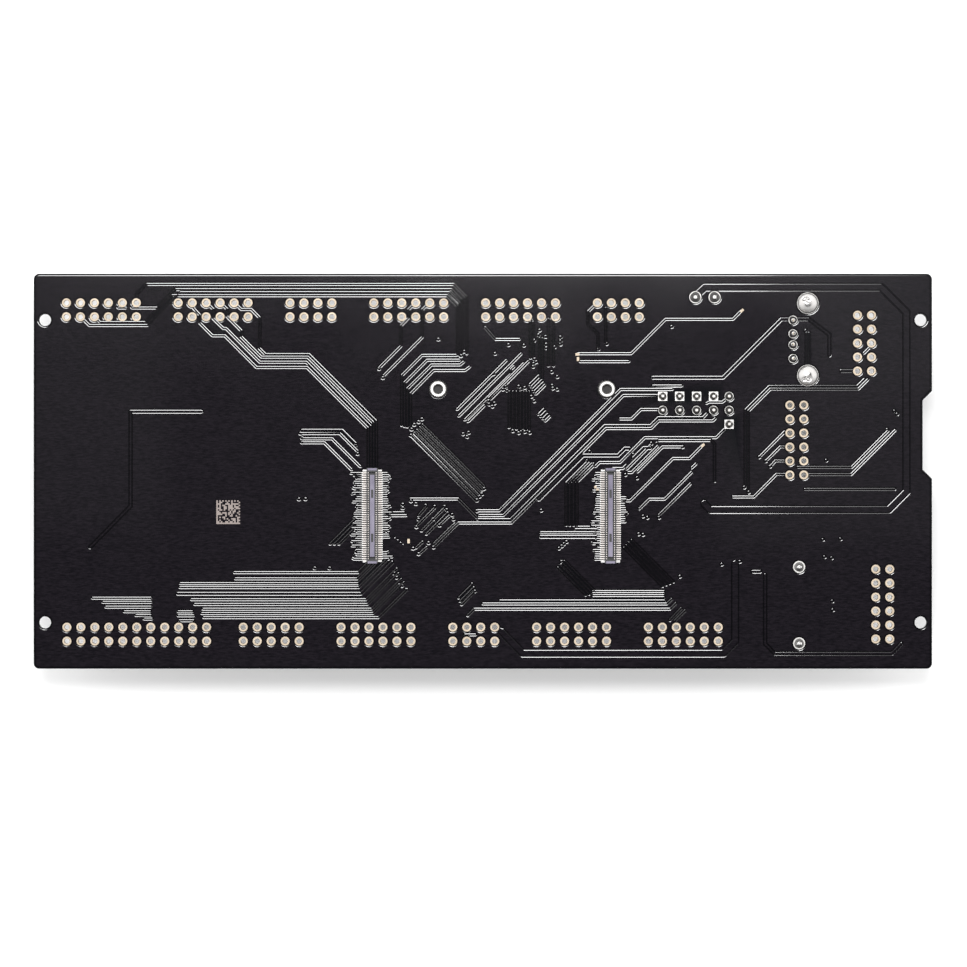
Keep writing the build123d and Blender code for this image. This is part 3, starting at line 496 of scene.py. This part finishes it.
def mask_material():
    """Black solder mask: glossy, with a faint weave over copper, and painted far darker on bare laminate
    as painted shade in the grooves beside copper.
    """
    made = material("solder_mask", (0.004, 0.003, 0.004), 0.1, IOR=1.6)
    weave_stops = [(0.3, (0.0018, 0.001, 0.0014)), (0.7, (0.0078, 0.0058, 0.0076))]
    weave = ramp(made, noise(made, 4200, 2.0, (0.25, 1, 1)), weave_stops)
    blend = add_node(made, "ShaderNodeMix", data_type="RGBA")
    # The Mix node repeats its sockets' names, so they are taken by place
    factor, painted_groove_shade, covered = (blend.inputs[place] for place in (0, 6, 7))
    mixed = blend.outputs[2]
    # Painted shade: the colour at the mask's bare level is far darker, so the grooves beside copper and
    # the bare laminate read dark
    painted_groove_shade.default_value = (0.0004, 0.0003, 0.0003, 1)
    link(made, over_copper(made), factor)
    link(made, weave, covered)
    link(made, mixed, shader_of(made).inputs["Base Color"])
    vary(made, "Roughness", noise(made, 60, 3.0), [(0.3, 0.065), (0.7, 0.08)])
    return made


def metal(name, colour, roughness, grain=400, spread=0.08, bump_height=0.004):
    """Plated metal, its gloss and its face a little uneven."""
    made = material(name, colour, roughness, 1.0)
    stops = [(0.3, roughness - spread), (0.7, roughness + spread)]
    vary(made, "Roughness", noise(made, grain, 3.0), stops)
    bump(made, noise(made, grain * 2), bump_height, 0.6)
    return made


def moulding(name, colour, roughness):
    """A moulded or cut face: one colour with a fine grain."""
    made = material(name, colour, roughness)
    bump(made, noise(made, 2500), 0.006, 0.4)
    return made


MATERIALS = {
    "board": moulding("laminate_edge", (0.016, 0.014, 0.014), 0.55),
    "mask": mask_material(),
    "gold": metal("gold_plate", (0.46, 0.39, 0.305), 0.6),
    "tin": metal("tin_plate", (0.5, 0.49, 0.475), 0.45),
    "nickel": metal("nickel_sheet", (0.72, 0.71, 0.69), 0.3, 200),
    "solder": metal("solder", (0.45, 0.44, 0.43), 0.14, 500, 0.04, 0.008),
    "frosted_solder": metal("frosted_solder", (0.47, 0.46, 0.45), 0.26, 900, 0.08, 0.03),
    "contact": metal("contact_plate", (0.47, 0.44, 0.42), 0.5),
    "black_moulding": moulding("black_moulding", (0.02, 0.02, 0.021), 0.5),
    "white_moulding": moulding("white_moulding", (0.75, 0.74, 0.7), 0.45),
    "green_moulding": moulding("green_moulding", (0.02, 0.24, 0.08), 0.4),
    "epoxy": moulding("epoxy", (0.022, 0.022, 0.024), 0.55),
    "ceramic": moulding("ceramic", (0.4, 0.29, 0.18), 0.4),
}

# ---- meshes

# The corners of a square about its middle, anticlockwise
CORNERS = [(-1, -1), (1, -1), (1, 1), (-1, 1)]


def placed(name, data):
    """A new object in the scene."""
    shown = bpy.data.objects.new(name, data)
    bpy.context.scene.collection.objects.link(shown)
    return shown


def piece(name, vertices, faces, made, smooth=False):
    """A mesh piece in board millimetres, riding on the board."""
    mesh = bpy.data.meshes.new(name)
    mesh.from_pydata([tuple(c * MM for c in vertex) for vertex in vertices], [], faces)
    mesh.materials.append(made)
    mesh.update()
    if smooth:
        mesh.polygons.foreach_set("use_smooth", [True] * len(mesh.polygons))
    shown = placed(name, mesh)
    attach(shown, "root")
    return shown


class Builder:
    """Collects the vertices and faces of one piece."""

    def __init__(self):
        self.vertices = []
        self.faces = []

    def add(self, vertices, faces):
        """Takes in vertices, and faces numbered from nought."""
        base = len(self.vertices)
        self.vertices += vertices
        self.faces += [tuple(base + index for index in face) for face in faces]

    def lathe(self, centre, profile, sides, closed=False, wobble=None):
        """Turns a (radius, height) profile about a vertical axis. A closed one joins end to start."""
        vertices = []
        for radius, height in profile:
            for side in range(sides):
                angle = math.tau * side / sides
                x, y = radius * math.cos(angle), radius * math.sin(angle)
                dx, dy, dz = wobble(x, y, height) if wobble else (0, 0, 0)
                vertices.append((centre[0] + x + dx, centre[1] + y + dy, height + dz))
        rings = len(profile)
        spans = rings if closed else rings - 1
        faces = []
        for ring in range(spans):
            low, high = ring * sides, (ring + 1) % rings * sides
            for side in range(sides):
                after = (side + 1) % sides
                faces.append((low + side, low + after, high + after, high + side))
        self.add(vertices, faces)

    def stack(self, sections):
        """Joins four-cornered outlines, lowest first with their heights, and closes the ends."""
        vertices = [(x, y, height) for outline, height in sections for x, y in outline]
        last = len(vertices) - 4
        faces = [(3, 2, 1, 0), (last, last + 1, last + 2, last + 3)]
        for base in range(0, last, 4):
            for low in range(4):
                after = (low + 1) % 4
                faces.append((base + low, base + after, base + 4 + after, base + 4 + low))
        self.add(vertices, faces)

    def box(self, low, high):
        """A box between two corners."""
        (x0, y0, z0), (x1, y1, z1) = low, high
        outline = [(x0, y0), (x1, y0), (x1, y1), (x0, y1)]
        self.stack([(outline, z0), (outline, z1)])

    def make(self, name, made, smooth=False):
        """The piece that has been collected."""
        return piece(name, self.vertices, self.faces, made, smooth)


# ---- the mask's relief

# Where the mask's height changes beside copper, as distances from its edge
BENDS = (0, SLOPE, GAP - SLOPE, GAP)

# A distance beyond any here, the sheet's inset at the edge, and how close points are merged
FAR = 1e9
RIM_INSET = 0.01
MERGED = 1e-5


def outline_offset(route, distance):
    """The outline at a distance round a route, its outer corners and ends rounded."""
    points = [np.array(point, float) for point in route]
    directions = [(b - a) / np.linalg.norm(b - a) for a, b in zip(points, points[1:])]
    left, right = [], []
    for index, point in enumerate(points):
        before = directions[max(index - 1, 0)]
        after = directions[min(index, len(directions) - 1)]
        across = np.array([-before[1] - after[1], before[0] + after[0]])
        across /= np.linalg.norm(across)
        normals = [np.array([-before[1], before[0]]), across, np.array([-after[1], after[0]])]
        mitre = [across / max(across @ normals[2], 0.5)]
        turn = before[0] * after[1] - before[1] * after[0]
        left += [point + distance * ray for ray in (normals if turn < 0 else mitre)]
        right += [point - distance * ray for ray in (normals if turn > 0 else mitre)]

    def cap(point, direction):
        """The points that round an end, between its corners."""
        start = math.atan2(direction[1], direction[0]) + math.pi / 2
        angles = [start - math.pi * k / 4 for k in range(1, 4)]
        return [point + distance * np.array([math.cos(angle), math.sin(angle)]) for angle in angles]

    return left + cap(points[-1], directions[-1]) + right[::-1] + cap(points[0], -directions[0])


def circle(centre, radius, sides):
    """Points spread evenly round a circle."""
    x, y = centre
    angles = [math.tau * k / sides for k in range(sides)]
    return [(x + radius * math.cos(angle), y + radius * math.sin(angle)) for angle in angles]


def rectangle(centre, half_x, half_y):
    """The corners of a rectangle about its middle, anticlockwise."""
    return [(centre[0] + i * half_x, centre[1] + j * half_y) for i, j in CORNERS]


def board_outline(inset):
    """The board's outline moved inwards, with its corners and notch."""
    length, width = HALF_LENGTH - inset, HALF_WIDTH - inset
    radius = BOARD_CORNER - inset
    points = []
    for turn, (sign_x, sign_y) in enumerate([(1, 1), (-1, 1), (-1, -1), (1, -1)]):
        x, y = sign_x * (length - radius), sign_y * (width - radius)
        for step in range(CORNER_STEPS + 1):
            angle = (turn + step / CORNER_STEPS) * math.pi / 2
            points.append((x + radius * math.cos(angle), y + radius * math.sin(angle)))
    lift = inset * math.tan(math.pi / 8)
    inner, outer = NOTCH_HALF - NOTCH_DEPTH, NOTCH_HALF
    notch = [
        (length, NOTCH_Y - outer - lift),
        (length - NOTCH_DEPTH, NOTCH_Y - inner - lift),
        (length - NOTCH_DEPTH, NOTCH_Y + inner + lift),
        (length, NOTCH_Y + outer + lift),
    ]
    return points + notch


def distance_to_segment(x, y, ax, ay, bx, by):
    """Distance from places to a straight segment."""
    dx, dy = bx - ax, by - ay
    along = np.clip(((x - ax) * dx + (y - ay) * dy) / (dx * dx + dy * dy), 0, 1)
    return np.hypot(x - ax - along * dx, y - ay - along * dy)


def distance_to_polygon(points, polygon):
    """Signed distance from points to a closed polygon, positive inside."""
    x, y = points[:, 0], points[:, 1]
    nearest = np.full(len(points), FAR)
    inside = np.zeros(len(points), bool)
    for (ax, ay), (bx, by) in zip(polygon, polygon[1:] + polygon[:1]):
        nearest = np.minimum(nearest, distance_to_segment(x, y, ax, ay, bx, by))
        if ay != by:
            crossing = (ay > y) != (by > y)
            inside ^= crossing & (x < ax + (y - ay) / (by - ay) * (bx - ax))
    return np.where(inside, nearest, -nearest)


class Relief:
    """The copper of one side: traces, discs and pour. It makes the mask that lies over them."""

    def __init__(self):
        self.segments, self.discs, self.squares = [], [], []
        self.voids, self.round_voids = [], []
        self.openings, self.lines = [], []

    def trace(self, route, half_width):
        """A route's copper, with the pour held back from it."""
        self.segments += [(*a, *b, half_width) for a, b in zip(route, route[1:])]
        for gap in BENDS:
            self.lines.append(outline_offset(route, half_width + gap))

    def disc(self, centre, radius, sides):
        """Round copper, with the pour held back from it."""
        self.discs.append((*centre, radius))
        for gap in BENDS:
            self.lines.append(circle(centre, radius + gap, sides))

    def opening(self, centre, radius, sides):
        """A round window in the mask, over a pad or a hole."""
        self.openings.append(("round", centre, radius))
        self.lines.append(circle(centre, radius, sides))

    def opening_with_gap(self, centre, radius, sides):
        """A window with the poured copper held back from it."""
        self.disc(centre, radius - SLOPE, sides)
        self.opening(centre, radius, sides)

    def square_opening(self, centre, half):
        """A square window, with the poured copper held back from it."""
        self.squares.append((*centre, half - SLOPE))
        self.openings.append(("square", centre, half))
        for grown in (0, SLOPE):
            self.lines.append(rectangle(centre, half + grown, half + grown))

    def void(self, centre, half_x, half_y):
        """A field with no poured copper."""
        self.voids.append((*centre, half_x, half_y))
        for shrunk in (0, SLOPE):
            self.lines.append(rectangle(centre, half_x - shrunk, half_y - shrunk))

    def round_void(self, centre, radius, sides):
        """A round field with no poured copper."""
        self.round_voids.append((*centre, radius))
        for grown in (0, SLOPE):
            self.lines.append(circle(centre, radius + grown, sides))

    def heights(self, points):
        """The mask's height above the laminate at each point."""
        x, y = points[:, 0], points[:, 1]
        copper = np.full(len(points), FAR)
        for ax, ay, bx, by, radius in self.segments:
            copper = np.minimum(copper, distance_to_segment(x, y, ax, ay, bx, by) - radius)
        for cx, cy, radius in self.discs:
            copper = np.minimum(copper, np.hypot(x - cx, y - cy) - radius)
        for cx, cy, half in self.squares:
            copper = np.minimum(copper, np.maximum(abs(x - cx), abs(y - cy)) - half)
        traced = np.clip(1 - copper / SLOPE, 0, 1)
        poured = np.clip((copper - GAP) / SLOPE + 1, 0, 1)
        for cx, cy, half_x, half_y in self.voids:
            inside = np.minimum(half_x - abs(x - cx), half_y - abs(y - cy))
            poured = np.minimum(poured, np.clip(1 - inside / SLOPE, 0, 1))
        for cx, cy, radius in self.round_voids:
            poured = np.minimum(poured, np.clip((np.hypot(x - cx, y - cy) - radius) / SLOPE, 0, 1))
        edge = distance_to_polygon(points, board_outline(0))
        shore = np.clip((edge - POUR_INSET) / SLOPE, 0, 1)
        return BARE_MASK + RELIEF * np.maximum(traced, poured * shore)

    def is_open(self, centres):
        """Whether each place is in a window or beyond the board."""
        x, y = centres[:, 0], centres[:, 1]
        gone = distance_to_polygon(centres, board_outline(0)) < 0
        for kind, (cx, cy), size in self.openings:
            if kind == "round":
                gone |= np.hypot(x - cx, y - cy) < size
            else:
                gone |= np.maximum(abs(x - cx), abs(y - cy)) < size
        return gone

    def skin(self, name, level, up):
        """Makes the mask, a sheet with its rims turned down to the laminate."""
        insets = (RIM_INSET, POUR_INSET, POUR_INSET + SLOPE)
        lines = self.lines + [board_outline(inset) for inset in insets]
        corners, edges = [], []
        for line in lines:
            base = len(corners)
            corners += [Vector((float(px), float(py))) for px, py in line]
            edges += [(base + k, base + (k + 1) % len(line)) for k in range(len(line))]
        flat, _, faces, *_ = delaunay_2d_cdt(corners, edges, [], 0, MERGED, False)
        points = np.array([tuple(point) for point in flat])
        faces = np.array([tuple(face) for face in faces])
        faces = faces[~self.is_open(points[faces].mean(axis=1))]
        used, faces = np.unique(faces, return_inverse=True)
        faces = faces.reshape(-1, 3)
        points = points[used]
        heights = self.heights(points)
        sign = 1 if up else -1
        top = [(px, py, level + sign * height) for (px, py), height in zip(points, heights)]
        sheet = [tuple(face) for face in faces] if up else [tuple(face[::-1]) for face in faces]
        directed = {(f[k], f[(k + 1) % 3]) for f in sheet for k in range(3)}
        rim = [(a, b) for a, b in directed if (b, a) not in directed]
        foot = {}
        for a, _ in sorted(rim):
            foot[a] = len(top)
            top.append((top[a][0], top[a][1], level))
        sheet += [(b, a, foot[a], foot[b]) for a, b in sorted(rim)]
        piece(name, top, sheet, MATERIALS["mask"])


def fan_out(rng, side_x, sign, rows, reaches):
    """Short routes from a socket's feet. Some jog sideways at their end, and some end in a via."""
    routes, vias = [], []
    for row in CONTACT_ROWS:
        if not rows[0] <= row <= rows[1]:
            continue
        reach = rng.uniform(*reaches) + rng.choice(LONGER)
        jog = rng.choice(JOGS)
        y = MEZZANINE_Y + row
        bend = side_x + sign * (FOOT_REACH + reach - JOG_LENGTH)
        end = (side_x + sign * (FOOT_REACH + reach), y + jog)
        routes.append([(side_x + sign * FOOT_REACH, y), (bend, y), end])
        if rng.random() < WITH_VIA:
            vias.append(end)
    return routes, vias


def solder_side():
    """The face that the photograph shows."""
    relief = Relief()
    rng = random.Random(11)
    for half_width, routes in ROUTES:
        for route in routes:
            relief.trace(shifted(route), half_width)
    for centre in shifted(VIAS):
        relief.disc(centre, VIA, VIA_SIDES)
    for centre in DIMPLES:
        relief.round_void(centre, DIMPLE, VIA_SIDES)
    for side_x in MEZZANINES.values():
        relief.void((side_x, MEZZANINE_Y), FOOT_REACH, SOCKET_FIELD)
    for side, sign, rows, reaches in FAN_OUTS:
        routes, vias = fan_out(rng, MEZZANINES[side], sign, rows, reaches)
        for route in routes:
            relief.trace(route, FINE)
        for via in vias:
            relief.disc(via, FINE_VIA, FINE_VIA_SIDES)
    common_openings(relief)
    for centre in SPACERS.values():
        relief.opening_with_gap(centre, SPACER_OPENING, LARGE_SIDES)
    relief.skin("solder_side_mask", BOARD_TOP, True)


def common_openings(relief):
    """Windows on both faces: over plated holes, soldered pins and mounting holes."""
    for places, _, window, sides in [(header_places(), PAD, OPENING, PAD_SIDES), *SOLDERED_PADS]:
        for centre in places:
            relief.opening_with_gap(centre, window, sides)
    for centre in MOUNTING_HOLES:
        relief.round_void(centre, MOUNTING_CLEAR, LARGE_SIDES)
        relief.opening(centre, MOUNTING_HOLE, LARGE_SIDES)
    for centre in SQUARE_PINS:
        relief.square_opening(centre, OPENING)


def component_side():
    """The hidden face, with the windows and vias that go through."""
    relief = Relief()
    common_openings(relief)
    for centre in shifted(VIAS):
        relief.disc(centre, VIA, VIA_SIDES)
    relief.skin("component_side_mask", BOARD_UNDERSIDE, False)


# ---- plating and solder


def both_faces(under):
    """A profile through the board: (radius, lift) points below it, and in reverse above it."""
    below = [(radius, BOARD_UNDERSIDE - lift) for radius, lift in under]
    return below + [(radius, BOARD_TOP + lift) for radius, lift in reversed(under)]


def header_pads():
    """Open plated holes: a pad on each face and the barrel between them, as one closed ring."""
    ring = [(PAD, 0), (PAD - PAD_LIP, PAD_LIFT), (BORE + PAD_LIP, PAD_LIFT), (BORE, 0)]
    builder = Builder()
    for centre in header_places():
        builder.lathe(centre, both_faces(ring), PAD_SIDES, closed=True)
    builder.make("header_pads", MATERIALS["gold"])


def soldered_pads():
    """Plated pads on both faces, open under joints, and square at a header's first pin."""
    covered = 0.3
    builder = Builder()
    for x, y in SQUARE_PINS:
        for level, lift in ((BOARD_TOP, PAD_LIFT), (BOARD_UNDERSIDE, -PAD_LIFT)):
            low, high = sorted((level, level + lift))
            builder.box((x - PAD, y - PAD, low), (x + PAD, y + PAD, high))
    for places, radius, _, sides in SOLDERED_PADS:
        for centre in places:
            ring = [(covered, PAD_LIFT), (radius - PAD_LIP, PAD_LIFT), (radius, 0)]
            builder.lathe(centre, both_faces(ring), sides)
    builder.make("soldered_pads", MATERIALS["tin"])


def wetted(foot, top, height, base):
    """A joint's hollow-sided profile, from its foot up to the pin's cut end."""
    steps, hollow = 8, 1.15
    crown_width, crown_rise = 0.6, 0.02
    profile = []
    for step in range(steps + 1):
        t = step / steps
        profile.append((top + (foot - top) * (1 - t) ** hollow, base + height * t))
    return profile + [(top * crown_width, base + height + crown_rise)]


def leaning(rng, lean):
    """Pushes a joint a little off round, and off its axis towards its top."""
    tip_x, tip_y = rng.uniform(-lean, lean), rng.uniform(-lean, lean)
    phase = rng.uniform(0, math.tau)
    lobes, depth = 3, 0.03

    def wobble(x, y, height):
        rise = max(height - BOARD_TOP, 0)
        swell = depth * math.sin(lobes * math.atan2(y, x) + phase)
        return tip_x * rise + swell * x, tip_y * rise + swell * y, 0

    return wobble


# Joints: the CAD node, its pins, the foot's and the top's radius, the height and the lean
JOINTS = [
    ("header_pin_solder", ROUND_PINS + SQUARE_PINS, 0.74, 0.27, 1.06, 0.03),
    ("usb_pin_solder", USB_PINS, 0.74, 0.34, 1.26, 0.05),
    ("power_pin_solder", POWER_PINS, 0.98, 0.32, 1.06, 0.03),
    ("retainer_solder", RETAINER_LEGS, 0.9, 0.3, 0.88, 0.06),
]
JOINT_BASE = BOARD_TOP + 0.036
JOINT_SIDES = 28


def solder_joints():
    """Smooth joints in place of faceted ones."""
    rng = random.Random(5)
    for node, places, foot, top, height, lean in JOINTS:
        builder = Builder()
        profile = wetted(foot, top, height, JOINT_BASE)
        for centre in places:
            builder.lathe(centre, profile, JOINT_SIDES, wobble=leaning(rng, lean))
        joints = builder.make(f"smooth_{node}", MATERIALS["solder"], smooth=True)
        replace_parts(joints, node)


# Square pins: half a side, and the level at which they begin to narrow
PIN_HALF = 0.32
POWER_PIN_HALF = 0.45
WAIST = BOARD_TOP + 0.52


def eased_pins():
    """The headers' square pins, their soldered ends eased and bright where they are cut."""
    groups = []
    for index, pins in enumerate(zip(ROUND_PINS[:4], SQUARE_PINS[:4])):
        groups.append((f"jumper_{index + 1}_pins", pins, "gold", PIN_HALF))
    groups.append(("selector_pins", [*ROUND_PINS[4:], SQUARE_PINS[4]], "gold", PIN_HALF))
    groups.append(("power_header_pins", POWER_PINS, "tin", POWER_PIN_HALF))
    tips = Builder()
    for node, places, slot, half in groups:
        low, high = (np.array(corner)[2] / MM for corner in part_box(node))
        tip = half * 0.28 + 0.1
        sections = [(half - 0.15, low), (half, low + 0.3), (half, WAIST)]
        sections += [(tip, high - 0.22), (tip, high - 0.01)]
        cut = [(tip, high - 0.2), (tip, high - 0.005), (0.01, high)]
        builder = Builder()
        for centre in places:
            builder.stack([(rectangle(centre, size, size), z) for size, z in sections])
            tips.lathe(centre, cut, 16)
        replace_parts(builder.make(f"{node}_eased", MATERIALS[slot]), node)
    tips.make("pin_ends", MATERIALS["tin"])


# How far out a tab shows in its dome, and its dents: place, radius, floor and stub's radius
TAB_OUT = 0.8
DENTS = [(0.15, 0.95, 0.7, 0.34), (-0.8, 0.56, 0.62, 0.17)]


def dented(tab_y):
    """Sinks flat-floored dents with steep walls into a dome."""
    wall, steepness = 0.9, 6

    def sink(x, y, height):
        floors = []
        for dent_x, radius, level, _ in DENTS:
            floors.append(level + wall * (math.hypot(x - dent_x, y - tab_y) / radius) ** steepness)
        return 0, 0, min(0, BOARD_TOP + min(floors) - height)

    return sink


def tab_domes():
    """The two large domes of solder, with the cut ends of the shell's tab in each."""
    radius, base, rise, rings = 1.88, 0.03, 1.0, 26
    shoulder, roundness = 2.6, 0.8
    domes = Builder()
    for (x, y), outwards in zip(USB_TABS, (-1, 1)):
        profile = []
        for ring in range(rings + 1):
            r = radius * (1 - ring / (rings + 0.2))
            profile.append((r, BOARD_TOP + base + rise * (1 - (r / radius) ** shoulder) ** roundness))
        domes.lathe((x, y), profile, 72, wobble=dented(outwards * TAB_OUT))
        for dent_x, _, _, half in DENTS:
            stub = [(half, BOARD_TOP + 0.5), (half, BOARD_TOP + 0.78), (0.02, BOARD_TOP + 0.9)]
            domes.lathe((x + dent_x, y + outwards * TAB_OUT), stub, 5)
    shown = domes.make("smooth_tab_solder", MATERIALS["frosted_solder"], smooth=True)
    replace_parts(shown, "tab_solder")


def spacers():
    """The spacers, with eased edges and their thread."""
    core, crest, pitch, full, lowest_crest = 0.8, 0.9, 0.5, 1.5, 0.2
    root = core + 0.02
    outside = [(1.52, 0), (1.47, 0.08), (1.43, 0.2), (1.41, 0.5)]
    outside += [(1.4, 0.7), (1.4, 1.42), (1.34, full), (0.98, full)]
    for node, centre in SPACERS.items():
        profile = [(radius, BOARD_TOP + height) for radius, height in outside]
        height = full - (crest - core)
        while height > lowest_crest:
            profile += [(crest, BOARD_TOP + height), (root, BOARD_TOP + height - pitch / 2)]
            height -= pitch
        profile.append((root, BOARD_TOP))
        builder = Builder()
        builder.lathe(centre, profile, 48)
        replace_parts(builder.make(f"{node}_threaded", MATERIALS["tin"]), node)


def foot_solder():
    """A tinned pad under the end of every socket foot."""
    inside, beyond, half, thick = 1.06, 0.14, 0.105, 0.05
    for side, side_x in MEZZANINES.items():
        builder = Builder()
        for row in CONTACT_ROWS:
            y = MEZZANINE_Y + row
            for sign in (-1, 1):
                near, far = sorted((side_x + sign * inside, side_x + sign * (FOOT_REACH + beyond)))
                builder.box((near, y - half, BOARD_TOP), (far, y + half, BOARD_TOP + thick))
        builder.make(f"mezzanine_{side}_foot_solder", MATERIALS["tin"])


def bare_copper():
    """Bare gold: the ends of four routes, a test pad, and patches beside the right socket."""
    half_length, slimness = 0.36, 0.6
    builder = Builder()
    for (x, y), (dx, dy) in GOLD_ENDS:
        size = math.hypot(dx, dy)
        ux, uy = dx / size * half_length, dy / size * half_length
        vx, vy = -uy * slimness, ux * slimness
        outline = [(x + i * ux + j * vx, y + i * uy + j * vy) for i, j in CORNERS]
        builder.stack([(outline, BOARD_TOP + 0.05), (outline, BOARD_TOP + 0.075)])
    for low, high in GOLD_PATCHES:
        builder.box((*low, BOARD_TOP + 0.03), (*high, BOARD_TOP + 0.08))
    builder.make("bare_copper", MATERIALS["gold"])


def batch_mark():
    """A square field of random pale cells between two solid and two dashed sides. It encodes nothing."""
    cells, size, x0, y0 = 16, 0.27, -48.45, -9.6
    share, low, high = 0.48, BOARD_TOP + 0.031, BOARD_TOP + 0.036
    rng = random.Random(3)
    builder = Builder()
    last = cells - 1
    for row in range(cells):
        for column in range(cells):
            if row == 0 or column == 0:
                filled = True
            elif row == last or column == last:
                filled = (row + column) % 2 == 1
            else:
                filled = rng.random() < share
            if filled:
                x, y = x0 + column * size, y0 + row * size
                builder.box((x, y, low), (x + size, y + size, high))
    made = material("pale_mark", (0.21, 0.175, 0.16), 0.6)
    builder.make("batch_mark", made)


def socket_faces():
    """The sockets' glossy island and end caps, over the CAD's mouldings."""
    made = material("socket_face", (0.12, 0.11, 0.16), 0.35)
    stops = [(0.3, (0.07, 0.06, 0.1)), (0.7, (0.17, 0.155, 0.21))]
    vary(made, "Base Color", noise(made, 500, 3.0, (1, 0.4, 1)), stops)
    # The island, the two marks left open in it, and its lengths of full width
    half, reach = 0.4, 7.45
    mark_half, mark_y, mark_reach = 0.21, 4.0, 0.75
    top = BOARD_TOP + 0.93
    face = top + 0.012
    near_mark, far_mark = mark_y - mark_reach, mark_y + mark_reach
    spans = [(-reach, -far_mark), (-near_mark, near_mark), (far_mark, reach)]
    # The end caps
    cap_half, caps = 0.83, ((-8.65, -8.25), (8.25, 8.65))
    cap_low, cap_high = top + 0.12, top + 0.135
    y = MEZZANINE_Y
    for side, x in MEZZANINES.items():
        builder = Builder()
        for low, high in spans:
            builder.box((x - half, y + low, top), (x + half, y + high, face))
        for middle in (-mark_y, mark_y):
            for sign in (-1, 1):
                near, far = sorted((x + sign * mark_half, x + sign * half))
                builder.box((near, y + middle - mark_reach, top), (far, y + middle + mark_reach, face))
        for low, high in caps:
            builder.box((x - cap_half, y + low, cap_low), (x + cap_half, y + high, cap_high))
        builder.make(f"mezzanine_{side}_face", made)


# ---- assembly


def dress_cad():
    """Gives every CAD node its material."""
    slots = {row["node"]: row["material_slot"] for row in frame["record"]["subparts"]}
    for name, shown in frame["nodes"].items():
        shown.data.materials.clear()
        look = "contact" if name.startswith("mezzanine") and name.endswith("contacts") else slots[name]
        shown.data.materials.append(MATERIALS[look])


def softbox(name, low, high, level, radiance):
    """A flat light that faces down, over the plan area from low to high."""
    light = bpy.data.lights.new(name, "AREA")
    light.shape = "RECTANGLE"
    light.size = (high[0] - low[0]) * MM
    light.size_y = (high[1] - low[1]) * MM
    light.energy = radiance * math.pi * light.size * light.size_y
    lamp = placed(name, light)
    lamp.location = Vector(((low[0] + high[0]) / 2, (low[1] + high[1]) / 2, level)) * MM


def studio():
    """White sweep, light panels high above, and a bright dome with a dark top."""
    half = 3000 * MM
    mesh = bpy.data.meshes.new("floor")
    mesh.from_pydata([(i * half, j * half, FLOOR_LEVEL) for i, j in CORNERS], [], [(0, 1, 2, 3)])
    mesh.materials.append(material("paper_white", (0.9, 0.9, 0.9), 0.9))
    floor = placed("floor", mesh)
    for panel in SOFTBOXES:
        softbox(*panel)

    world = bpy.data.worlds.new("studio")
    world.use_nodes = True
    place = add_node(world, "ShaderNodeTexCoord")
    split = add_node(world, "ShaderNodeSeparateXYZ")
    link(world, place.outputs["Generated"], split.inputs["Vector"])
    # Bright up to a steep angle, black above it, and faintly lit overhead
    stops = [(0.0, 1.0), (0.86, 1.0), (0.93, 0.0), (0.978, 0.0), (0.992, (0.045, 0.05, 0.065))]
    levels = ramp(world, split.outputs["Z"], stops)
    # Dimmer on the near side than on the far side
    front = add_node(world, "ShaderNodeMapRange")
    for socket, value in (("From Min", -1.0), ("From Max", 0.0), ("To Min", 0.55), ("To Max", 2.1)):
        front.inputs[socket].default_value = value
    background = world.node_tree.nodes["Background"]
    link(world, split.outputs["Y"], front.inputs["Value"])
    link(world, levels, background.inputs["Color"])
    link(world, front.outputs["Result"], background.inputs["Strength"])
    bpy.context.scene.world = world
    bpy.context.scene.view_settings.view_transform = "Standard"


def camera():
    """Straight down, as the photograph is taken, with a long lens."""
    distance, framed, sensor = 1100, 175.8, 36
    centre_x, centre_y = 0.12, -2.23
    lens = bpy.data.cameras.new("camera")
    lens.sensor_width = sensor
    lens.lens = sensor * distance / framed
    lens.clip_start = 0.01
    shown = placed("camera", lens)
    shown.location = (centre_x * MM, centre_y * MM, (BOARD_TOP + distance) * MM)
    bpy.context.scene.camera = shown


dress_cad()
solder_side()
component_side()
header_pads()
soldered_pads()
solder_joints()
eased_pins()
tab_domes()
spacers()
foot_solder()
bare_copper()
batch_mark()
socket_faces()
studio()
camera()
